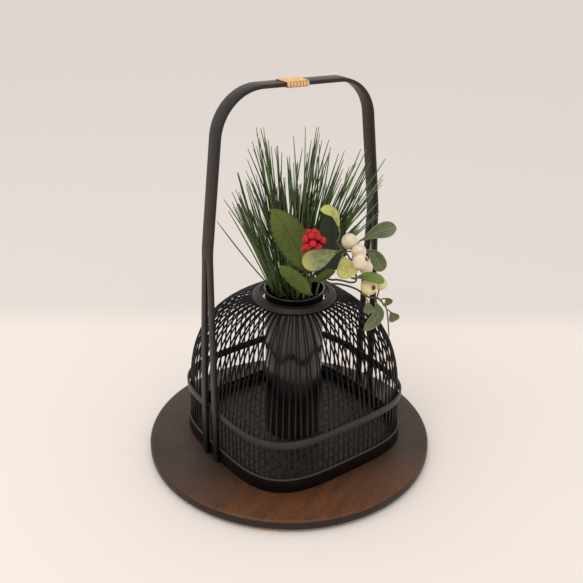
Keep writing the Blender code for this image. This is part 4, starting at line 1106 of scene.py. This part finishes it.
class Flowers:
    """Places in the arrangement: shares of its reach, right, away and up for its viewer."""

    def __init__(self, basket):
        self.mouth = basket.centre + UP * basket.tube_high.z
        self.turn = Matrix.Rotation(VIEW_TURN, 3, "Z")
        self.bore = basket.tube_radius - TUBE_WALL
        self.foot_z = basket.tube_low.z + TUBE_FLOOR + STEM_FOOT_LIFT

    def point(self, shares):
        """The place at the given shares from the middle of the tube's mouth."""
        return self.mouth + self.turn @ (Vector(shares) * FLOWER_REACH)

    def direction(self, shares):
        """A direction as its viewer gives it."""
        return self.turn @ Vector(shares).normalized()

    def stem(self, mouth_shares):
        """A stem's foot on the tube's floor and its place in the mouth, in shares of the bore."""
        offset = self.direction((*mouth_shares, 0)) * Vector(mouth_shares).length * self.bore
        foot = self.mouth + offset * STEM_DRAW_IN_SHARE
        foot.z = self.foot_z
        return foot, self.mouth + offset


# How fast each kind of leaf widens from its base and from its tip
LEAF_POWERS = {"pointed": (0.95, 0.70), "spoon": (1.5, 0.55)}
TOOTH_SHARE = 0.13
TOOTH_END_STEEPNESS = 12
# A blade's steps along its path and rows across it, its steps for each tooth or in all, its
# cup and its midrib's sink as shares of its half width, and how fast its waves turn
BLADE_STEPS = 24
LEAF_ROWS = 14
LEAF_TOOTH_STEPS = 10
LEAF_PLAIN_STEPS = 60
LEAF_CUP_SHARE = 0.26
LEAF_SINK_SHARE = 0.05
LEAF_WAVE_TURNS = (9, 1.3)
TWIG_LEAF_CURL = 0.06
TWIG_LEAF_WAVE = 0.10
TWIG_LEAF_SEED = 31
# The step of a blade's path at which its stem or its stalk ends under it
STEM_JOIN = 6
PETIOLE_JOIN = 8


def leaf_outline(share, kind, teeth):
    """Half width of a leaf, as a share of its greatest, at a share of its length."""
    base, tip = LEAF_POWERS[kind]
    peak = base / (base + tip)
    full = peak ** base * (1 - peak) ** tip
    width = max(share, 0) ** base * max(1 - share, 0) ** tip / full
    if teeth:
        tooth = (share * teeth) % 1.0
        width *= 1 - TOOTH_SHARE * (1 - tooth) * min(1, TOOTH_END_STEEPNESS * (1 - share))
    return width


def build_leaf(node, look, finishes, flowers, blade_shares, width_share, face, kind, teeth,
               curl, wave, seed):
    """A cloth leaf: its blade is cupped along its midrib and waves a little at its edges."""
    blade = smooth_path([flowers.point(shares) for shares in blade_shares], BLADE_STEPS)
    facing = flowers.direction(face)
    columns = teeth * LEAF_TOOTH_STEPS or LEAF_PLAIN_STEPS
    phase = random.Random(seed).uniform(0, math.tau)
    bm = bmesh.new()
    layer = bm.loops.layers.uv.new("leaf")
    made = bmesh.ops.create_grid(bm, x_segments=columns, y_segments=LEAF_ROWS, size=0.5)
    places = {vert: (vert.co.x + 0.5, vert.co.y * 2) for vert in made["verts"]}
    length = len(blade) - 1
    half = width_share * FLOWER_REACH / 2
    for vert, (share, across) in places.items():
        step = share * length
        low = min(int(step), length - 1)
        point = blade[low].lerp(blade[low + 1], step - low)
        along = (blade[min(low + 2, length)] - blade[max(low - 1, 0)]).normalized()
        side = along.cross(facing).normalized()
        depth = side.cross(along)
        if depth.dot(facing) < 0:
            depth = -depth
        width = max(half * leaf_outline(share, kind, teeth), LEAF_LEAST_HALF_WIDTH)
        cup = LEAF_CUP_SHARE * width * across ** 2 - LEAF_SINK_SHARE * half
        turn = share * LEAF_WAVE_TURNS[0] + phase + across * LEAF_WAVE_TURNS[1]
        ripple = wave * half * across ** 2 * math.sin(turn)
        roll = curl * half * share ** 3
        vert.co = point + side * width * across + depth * (cup - ripple - roll)
    for face_made in bm.faces:
        for loop in face_made.loops:
            share, across = places[loop.vert]
            loop[layer].uv = (share, across / 2 + 0.5)
    bmesh.ops.recalc_face_normals(bm, faces=bm.faces)
    bmesh.ops.solidify(bm, geom=bm.faces[:], thickness=LEAF_THICKNESS)
    place_piece(node + "_blade", bm, finishes[look], "arrangement", [node], sharp=60)
    return blade


# How far from a twig's middle its side stalks start and straighten, in its radii
STALK_START_SHARES = (0.6, 2.2)


def side_start(twig, node, target):
    """Where a side stalk leaves a twig, and a point a little way along it."""
    along = (twig[min(node + 1, len(twig) - 1)] - twig[max(node - 1, 0)]).normalized()
    toward = target - twig[node]
    square = (toward - along * along.dot(toward)).normalized()
    return [twig[node] + square * TWIG_RADIUS * share for share in STALK_START_SHARES]


# The leaves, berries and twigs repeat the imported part's places, in shares of its reach.
VIEWER = (0, -1, 0.35)
UPWARD = (0, -0.6, 1)

# Name, finish, stem's place in the mouth, blade's base, middle and tip, width, facing,
# teeth, curl at the tip and wave of the edges
STEM_LEAVES = (
    ("serrated_leaf_large", "leaf", (0.10, -0.62),
     ((0.10, -0.18, 0.253), (-0.01, -0.25, 0.60), (-0.205, -0.32, 0.955)), 0.34, VIEWER,
     13, 0.10, 0.05),
    ("serrated_leaf_low", "leaf", (0.30, -0.80),
     ((0.17, -0.36, 0.09), (0.04, -0.34, 0.21), (-0.145, -0.26, 0.350)), 0.18, UPWARD,
     8, 0.0, 0.06),
    ("serrated_leaf_right", "leaf", (0.50, -0.62),
     ((0.18, -0.22, 0.17), (0.29, -0.27, 0.25), (0.39, -0.33, 0.33)), 0.13, UPWARD,
     6, 0.0, 0.06),
    ("serrated_leaf_back", "dark_leaf", (0.58, -0.16),
     ((0.22, -0.08, 0.12), (0.36, -0.09, 0.46), (0.33, -0.05, 0.84)), 0.33, VIEWER,
     10, 0.0, 0.05),
)

UPPER_TWIG_MOUTH = (0.80, -0.34)
LOWER_TWIG_MOUTH = (0.78, -0.56)
UPPER_TWIG = (
    (0.37, -0.20, 0.178), (0.56, -0.30, 0.20), (0.60, -0.31, 0.25), (0.575, -0.30, 0.33),
    (0.56, -0.285, 0.38), (0.535, -0.27, 0.43), (0.49, -0.25, 0.50), (0.43, -0.24, 0.55),
    (0.40, -0.20, 0.60),
)
LOWER_TWIG = (
    (0.37, -0.20, 0.134), (0.58, -0.32, 0.150), (0.70, -0.37, 0.085), (0.80, -0.38, 0.075),
    (0.84, -0.38, 0.045), (0.87, -0.38, 0.0), (0.906, -0.38, -0.066), (0.937, -0.42, -0.33),
)

# Name, twig, node, centre, radius and the way that its dry flower end points
WHITE_BERRIES = (
    ("white_berry_upper_left", "upper", 7, (0.525, -0.20, 0.591), 0.080, (0.2, 0.7, 0.6)),
    ("white_berry_upper_middle", "upper", 6, (0.610, -0.32, 0.538), 0.0717, (0.5, 0.8, 0.3)),
    ("white_berry_upper_front", "upper", 5, (0.619, -0.47, 0.505), 0.0756,
     (0.72, -0.45, 0.55)),
    ("white_berry_upper_low", "upper", 3, (0.687, -0.30, 0.359), 0.0675, (0.9, 0.4, -0.2)),
    ("white_berry_lower_front", "lower", 2, (0.716, -0.40, 0.204), 0.0810,
     (0.48, -0.80, 0.28)),
    ("white_berry_lower_back", "lower", 3, (0.837, -0.29, 0.188), 0.0660, (0.8, 0.6, 0.2)),
)

TWIG_LEAVES = (
    ("variegated_leaf", "pale_leaf", "upper", 7,
     ((0.44, -0.36, 0.575), (0.26, -0.50, 0.56), (0.07, -0.53, 0.50)), 0.20, VIEWER),
    ("yellow_green_leaf", "yellow_leaf", "upper", 6,
     ((0.447, -0.36, 0.53), (0.48, -0.41, 0.44), (0.522, -0.45, 0.322)), 0.205, VIEWER),
    ("curled_leaf", "yellow_leaf", "upper", 8,
     ((0.435, -0.15, 0.665), (0.37, -0.16, 0.86), (0.243, -0.20, 0.91)), 0.13, UPWARD),
    ("upper_right_leaf", "grey_leaf", "upper", 5,
     ((0.621, -0.14, 0.561), (0.79, -0.13, 0.66), (0.971, -0.14, 0.722)), 0.16, VIEWER),
    ("right_leaf", "grey_leaf", "upper", 4,
     ((0.66, -0.18, 0.505), (0.775, -0.17, 0.43), (0.862, -0.20, 0.280)), 0.15, VIEWER),
    ("green_side_leaf", "bright_leaf", "upper", 2,
     ((0.54, -0.39, 0.29), (0.69, -0.47, 0.345), (0.855, -0.47, 0.30)), 0.12, UPWARD),
    ("hanging_leaf", "grey_leaf", "lower", 2,
     ((0.711, -0.39, 0.05), (0.72, -0.41, -0.01), (0.727, -0.42, -0.075)), 0.105, VIEWER),
    ("curved_leaf", "grey_leaf", "lower", 3,
     ((0.80, -0.39, 0.03), (0.815, -0.42, -0.10), (0.683, -0.46, -0.248)), 0.12, VIEWER),
    ("small_dark_leaf", "leaf", "lower", 4,
     ((0.875, -0.36, 0.060), (0.905, -0.355, 0.035), (0.93, -0.355, -0.01)), 0.09, VIEWER),
    ("fan_leaf", "grey_leaf", "lower", 6,
     ((0.935, -0.35, -0.085), (0.97, -0.34, -0.14), (1.0, -0.34, -0.20)), 0.115, VIEWER),
)

# Centres of the red berries: the first nine face the viewer, the rest close the back
RED_MOUTH = (0.40, -0.50)
RED_CENTRE = (0.169, -0.42, 0.706)
RED_BERRIES = (
    (0.181, -0.434, 0.786), (0.153, -0.477, 0.765), (0.101, -0.466, 0.731),
    (0.207, -0.474, 0.755), (0.254, -0.423, 0.699), (0.163, -0.507, 0.701),
    (0.215, -0.463, 0.648), (0.116, -0.469, 0.659), (0.088, -0.445, 0.622),
    (0.130, -0.375, 0.755), (0.200, -0.360, 0.740), (0.235, -0.375, 0.665),
    (0.110, -0.370, 0.690), (0.165, -0.345, 0.680), (0.160, -0.400, 0.630),
)

# Name, head's place in the mouth, the end of the needled part of its stem, the share of the
# stem below its first needles, the angles from upright, as the viewer sees them, between
# which its needles end, and the tips of its longest needles, right and up
PINE_SPRIGS = (
    ("pine_sprig_far_left", (-0.55, 0.06), (-0.26, 0.02, 0.18), 0.0, (-36, -19),
     ((-0.766, 0.70), (-0.693, 0.93), (-0.651, 0.81), (-0.605, 0.85), (-0.577, 1.03),
      (-0.55, 1.207), (-0.521, 1.01), (-0.475, 1.09))),
    ("pine_sprig_left", (-0.30, 0.34), (-0.12, 0.12, 0.40), 0.0, (-23, -5),
     ((-0.48, 1.19), (-0.464, 1.30), (-0.458, 1.405), (-0.404, 1.406), (-0.374, 1.615),
      (-0.335, 1.61), (-0.305, 1.616), (-0.345, 1.515), (-0.20, 1.41), (-0.17, 1.40))),
    ("pine_sprig_middle", (0.00, 0.08), (0.01, 0.08, 0.42), 0.0, (-9, 9),
     ((-0.132, 1.387), (-0.023, 1.549), (-0.061, 1.348), (0.088, 1.642), (0.062, 1.428),
      (0.107, 1.373), (0.022, 1.304))),
    ("pine_sprig_right", (0.20, 0.34), (0.13, 0.12, 0.48), 0.0, (6, 24),
     ((0.194, 1.623), (0.216, 1.627), (0.176, 1.417), (0.315, 1.506), (0.329, 1.428),
      (0.313, 1.338), (0.41, 1.366), (0.391, 1.182))),
    ("pine_sprig_far_right", (0.36, 0.02), (0.38, 0.06, 0.72), 0.5, (20, 43),
     ((0.616, 1.432), (0.67, 1.426), (0.702, 1.357), (0.714, 1.308), (0.855, 1.342),
      (0.839, 1.175), (0.841, 1.133), (0.835, 1.078), (0.808, 0.903), (0.824, 0.802),
      (0.805, 0.746), (0.784, 0.86), (0.49, 1.199), (0.622, 1.014))),
)
# The fan's edge: angle from upright, and reach from a point below the tube's mouth
PINE_FAN_SINK_SHARE = 0.12
PINE_FAN_EDGE = (
    (-37.0, 1.10), (-33.0, 1.26), (-26.0, 1.30), (-22.5, 1.45), (-17.0, 1.55), (-15.7, 1.64),
    (-11.6, 1.83), (-9.6, 1.81), (-0.8, 1.71), (2.8, 1.81), (6.1, 1.80), (10.6, 1.71),
    (14.7, 1.59), (21.2, 1.70), (24.9, 1.66), (29.7, 1.72), (32.5, 1.56), (34.0, 1.48),
    (36.9, 1.33), (41.0, 1.24),
)
PINE_DEPTH_SPREAD_SHARE = 0.14
PINE_HEAD_RADIUS = 3.2 * MM
PINE_HEAD_SINK = 12.0 * MM
PINE_START_SPREAD = 6.0 * MM
PINE_STEM_RADIUS = 1.7 * MM
BUNDLES_A_SPRIG = 28
BUNDLE_COUNTS = (1, 2, 3, 3)
BUNDLE_SPREAD = 1.6
NEEDLE_SHORTEST_SHARE = 0.58
NEEDLE_STUB_SHARE = 0.30
NEEDLE_UNEVEN_SHARE = 0.40
LOW_START_SHARE = 1.5
START_POWER = 1.4
BUNDLE_LENGTH_SHARES = (0.95, 1.03)
BUNDLE_DEPTH_STEP = 0.02
NEEDLE_SAG_SHARE = 0.03
# The share of its radius that a rod loses towards its tip, and how late
NEEDLE_TAPER = (0.55, 8)
PINE_STEM_TAPER = (0.6, 1)
TWIG_TAPER = (0.4, 4)
TWIG_SPAN_STEPS = 5
STEM_SPAN_STEPS = 6
STALK_SPAN_STEPS = 4
PINE_SEED = 11
NEEDLE_POINTS = 7


def fan_reach(angle):
    """Reach of the needle fan at an angle from upright, in shares."""
    for (low, near), (high, far) in zip(PINE_FAN_EDGE, PINE_FAN_EDGE[1:]):
        if low <= angle <= high:
            return near + (far - near) * (angle - low) / (high - low)
    return PINE_FAN_EDGE[-1][1]


def needle_path(start, tip, sag):
    """Points of a needle that bows a little to one side between its ends."""
    path = []
    for step in range(NEEDLE_POINTS):
        share = step / (NEEDLE_POINTS - 1)
        path.append(start.lerp(tip, share) + sag * math.sin(share * math.pi))
    return path


def build_pine(name, head_shares, top_shares, bare, angles, long_tips, finishes, flowers,
               seed):
    """A sprig: needles leave its stem in bundles, fan out and cross; the low ones start
    lowest."""
    source = random.Random(seed)
    foot, mouth = flowers.stem(head_shares)
    head = mouth.lerp(foot, PINE_HEAD_SINK / (mouth.z - foot.z))
    top = flowers.point(top_shares)
    ends = [[(across, top_shares[1], up)] for across, up in long_tips]
    for index in range(BUNDLES_A_SPRIG):
        middle = angles[0] + (angles[1] - angles[0]) * (index + source.random()) \
            / BUNDLES_A_SPRIG
        short = NEEDLE_SHORTEST_SHARE if index % 3 else NEEDLE_STUB_SHARE
        reach = fan_reach(middle) * source.uniform(short, short + NEEDLE_UNEVEN_SHARE)
        lean = top_shares[1] + source.uniform(-1, 1) * PINE_DEPTH_SPREAD_SHARE
        bundle = []
        for part in range(source.choice(BUNDLE_COUNTS)):
            turn = math.radians(middle + source.uniform(-1, 1) * BUNDLE_SPREAD)
            length = reach * source.uniform(*BUNDLE_LENGTH_SHARES)
            depth = lean * length + BUNDLE_DEPTH_STEP * part
            drop = (depth - top_shares[1]) * math.tan(CAMERA_DOWN)
            bundle.append((length * math.sin(turn), depth,
                           length * math.cos(turn) - PINE_FAN_SINK_SHARE - drop))
        ends.append(bundle)
    right, back = flowers.direction(ALONG_X), flowers.direction(ALONG_Y)
    paths = []
    for bundle in ends:
        rise = bare + (1 - bare) * source.random() ** START_POWER
        start = head.lerp(top, rise * min(1, bundle[0][2] / LOW_START_SHARE))
        start += right * source.uniform(-1, 1) * PINE_START_SPREAD
        start += back * source.uniform(-1, 1) * PINE_HEAD_RADIUS
        side = right * source.uniform(-1, 1) + back * source.uniform(-1, 1)
        for shares in bundle:
            tip = flowers.point(shares)
            sag = side * (tip - start).length * NEEDLE_SAG_SHARE
            paths.append(needle_path(start, tip, sag))
    radii = [tapered(NEEDLE_RADIUS, *NEEDLE_TAPER, NEEDLE_POINTS)] * len(paths)
    place_rods(name + "_needles", paths, radii, finishes["pine"], [name])
    stem = smooth_path([foot, foot.lerp(head, 0.5), head, top], TWIG_SPAN_STEPS)
    radii = tapered(PINE_STEM_RADIUS, *PINE_STEM_TAPER, len(stem))
    place_rods(name + "_stem", [stem], [radii], finishes["twig"], [name], sides=12)


# White berries: their steps round and up, the dent at their flower end, and where their
# stalk enters them, in their radii
WHITE_BERRY_STEPS = (36, 24)
BERRY_DENT_SHARE = 0.14
BERRY_DENT_STEEPNESS = 7
BERRY_ENTRY_SHARE = 0.96


def build_white_berry(node, finish, stalk_finish, twig, at, flowers, centre_shares, size,
                      end_shares):
    """A round berry with a slightly flattened flower end, on a short stalk."""
    centre = flowers.point(centre_shares)
    radius = size * FLOWER_REACH
    pole = flowers.direction(end_shares)
    side = pole.orthogonal().normalized()
    frame = Matrix((side, pole.cross(side), pole)).transposed().to_4x4()
    frame.translation = centre
    bm = bmesh.new()
    layer = bm.loops.layers.uv.new("berry")
    around, up = WHITE_BERRY_STEPS
    bmesh.ops.create_uvsphere(bm, u_segments=around, v_segments=up, radius=radius)
    angles = {}
    for vert in bm.verts:
        turn = math.acos(max(-1, min(1, vert.co.z / radius))) / math.pi
        angles[vert] = 1 - turn
        dent = max(0.0, 1 - turn * BERRY_DENT_STEEPNESS) ** 2
        vert.co.z -= radius * BERRY_DENT_SHARE * dent
    for face in bm.faces:
        for loop in face.loops:
            loop[layer].uv = (0.5, angles[loop.vert])
    bmesh.ops.transform(bm, matrix=frame, verts=bm.verts)
    place_piece(node + "_skin", bm, finish, "arrangement", [node])
    start = side_start(twig, at, centre)
    entry = centre + (start[1] - centre).normalized() * radius * BERRY_ENTRY_SHARE
    path = smooth_path([*start, entry], STALK_SPAN_STEPS)
    place_rods(node + "_stalk", [path], [[STALK_RADIUS] * len(path)], stalk_finish, [node])


# Red berries: their steps round and up, their sizes in turn, and how far above the middle
# of the first its tip's stalk starts, in its radii
RED_BERRY_STEPS = (20, 14)
RED_BERRY_SHARES = (0.94, 0.99, 1.04, 0.965, 1.015)
RED_TIP_START_SHARE = 0.7


def build_red_berries(finishes, flowers):
    """Berries crowded round the top of their stem, each on a short stalk."""
    foot, mouth = flowers.stem(RED_MOUTH)
    centre = flowers.point(RED_CENTRE)
    bm = bmesh.new()
    around, up = RED_BERRY_STEPS
    bend = centre.lerp(mouth, 0.3)
    stalks = [smooth_path([foot, mouth, bend, centre], STEM_SPAN_STEPS)]
    for index, shares in enumerate(RED_BERRIES):
        place = flowers.point(shares)
        size = RED_BERRY_RADIUS * RED_BERRY_SHARES[index % len(RED_BERRY_SHARES)]
        bmesh.ops.create_uvsphere(bm, u_segments=around, v_segments=up, radius=size,
                                  matrix=Matrix.Translation(place))
        stalks.append([centre, centre.lerp(place, 0.5), place])
    place_piece("red_berries", bm, finishes["red_berry"], "arrangement",
                ["red_berry_cluster"])
    tip = flowers.point(RED_BERRIES[0]) + UP * RED_BERRY_RADIUS * RED_TIP_START_SHARE
    stalks.append([tip, tip + UP * RED_TIP_STALK])
    radii = [[RED_STALK_RADIUS] * len(path) for path in stalks]
    radii[0] = [STEM_RADIUS] * len(stalks[0])
    place_rods("red_berry_stem", stalks, radii, finishes["twig"], ["red_berry_cluster"])


def build_arrangement(finishes, basket):
    """The sprigs, leaves, berries and twigs, each with its stem down to the tube's floor."""
    flowers = Flowers(basket)
    for seed, sprig in enumerate(PINE_SPRIGS):
        build_pine(*sprig, finishes, flowers, PINE_SEED + seed)
    for seed, entry in enumerate(STEM_LEAVES):
        name, look, mouth_shares, blade, width, face, teeth, curl, wave = entry
        foot, mouth = flowers.stem(mouth_shares)
        made = build_leaf(name, look, finishes, flowers, blade, width, face, "pointed", teeth,
                          curl, wave, seed)
        path = smooth_path([foot, mouth, made[0], made[STEM_JOIN]], STEM_SPAN_STEPS)
        radii = tapered(STEM_RADIUS, 1 - PETIOLE_RADIUS / STEM_RADIUS, 1, len(path))
        place_rods(name + "_stem", [path], [radii], finishes["twig"], [name])
    build_red_berries(finishes, flowers)
    twigs = {}
    for key, mouth_shares, shares in (("upper", UPPER_TWIG_MOUTH, UPPER_TWIG),
                                      ("lower", LOWER_TWIG_MOUTH, LOWER_TWIG)):
        foot, mouth = flowers.stem(mouth_shares)
        twigs[key] = [flowers.point(place) for place in shares]
        path = smooth_path([foot, mouth] + twigs[key], TWIG_SPAN_STEPS)
        node = key + "_berry_twig"
        place_rods(node + "_wood", [path], [tapered(TWIG_RADIUS, *TWIG_TAPER, len(path))],
                   finishes["twig"], [node], sides=12)
    for node, twig, at, centre, size, end in WHITE_BERRIES:
        build_white_berry(node, finishes["white_berry"], finishes["stalk"], twigs[twig], at,
                          flowers, centre, size, end)
    for seed, (name, look, twig, at, blade, width, face) in enumerate(TWIG_LEAVES):
        kind = "pointed" if name == "curved_leaf" else "spoon"
        made = build_leaf(name, look, finishes, flowers, blade, width, face, kind, 0,
                          TWIG_LEAF_CURL, TWIG_LEAF_WAVE, TWIG_LEAF_SEED + seed)
        start = side_start(twigs[twig], at, made[0])
        path = smooth_path(start + [made[0], made[PETIOLE_JOIN]], STEM_SPAN_STEPS)
        place_rods(name + "_stalk", [path], [[PETIOLE_RADIUS] * len(path)],
                   finishes["stalk"], [name])


# Display floor, light and camera

def build_stage():
    """The cloth under and behind the object, the pale room round it and its two lamps."""
    bm = bmesh.new()
    bmesh.ops.create_circle(bm, cap_ends=True, segments=96, radius=STAGE_RADIUS)
    mesh = bpy.data.meshes.new("display_floor")
    bm.to_mesh(mesh)
    bm.free()
    mesh.materials.append(pale_display_cloth())
    floor = linked("display_floor", mesh)

    world = bpy.data.worlds.new("soft_room")
    bpy.context.scene.world = world
    world.use_nodes = True
    background = world.node_tree.nodes["Background"]
    background.inputs["Color"].default_value = linear(ROOM_COLOUR)
    background.inputs["Strength"].default_value = ROOM_STRENGTH

    for name, place, size, power in LAMPS:
        data = bpy.data.lights.new(name, "AREA")
        data.shape = "DISK"
        data.size = size
        data.energy = power
        lamp = linked(name, data)
        lamp.location = place
        lamp.rotation_euler = (LAMP_TARGET - place).to_track_quat("-Z", "Y").to_euler()


def build_camera():
    """The camera that took the photograph, with the tilt that it was held at."""
    flat = math.cos(CAMERA_DOWN)
    ahead = Vector((math.sin(CAMERA_HEADING) * flat, math.cos(CAMERA_HEADING) * flat,
                    -math.sin(CAMERA_DOWN)))
    right = Vector((math.cos(CAMERA_HEADING), -math.sin(CAMERA_HEADING), 0))
    above = right.cross(ahead)
    rolled = right * math.cos(CAMERA_ROLL) + above * math.sin(CAMERA_ROLL)
    above = above * math.cos(CAMERA_ROLL) - right * math.sin(CAMERA_ROLL)
    data = bpy.data.cameras.new("camera")
    data.sensor_fit = "HORIZONTAL"
    data.sensor_width = SENSOR_WIDTH
    data.lens = SENSOR_WIDTH * FOCAL_SHARE
    camera = linked("camera", data)
    matrix = Matrix((rolled, above, -ahead)).transposed().to_4x4()
    matrix.translation = CAMERA_PLACE
    camera.matrix_world = matrix
    bpy.context.scene.camera = camera
    bpy.context.scene.view_settings.view_transform = "Standard"


def main():
    """Build every piece, then the stage and the camera."""
    basket = Basket()
    finishes = make_finishes()
    build_board(finishes["board_wood"])
    build_battens(finishes["bare_wood"])
    build_hoop("base_hoop_outer_strip", finishes["hoop"], basket, 0, "base_hoop_outer")
    inner = HOOP_WALL + RIB_SLOT
    build_hoop("base_hoop_inner_strip", finishes["hoop"], basket, inner, "base_hoop_inner")
    build_hoop("belt_strip", finishes["belt"], basket, 0, "belt_hoop")
    build_floor((finishes["strip_x"], finishes["strip_y"]), basket)
    build_ribs(finishes["ribs"], basket)
    build_neck(finishes["neck"], basket)
    build_handle(finishes["handle"], basket)
    build_pegs(finishes["handle"])
    build_wrap(finishes["rattan"], basket)
    build_tube(finishes["tube"], basket)
    build_arrangement(finishes, basket)
    build_stage()
    build_camera()


main()
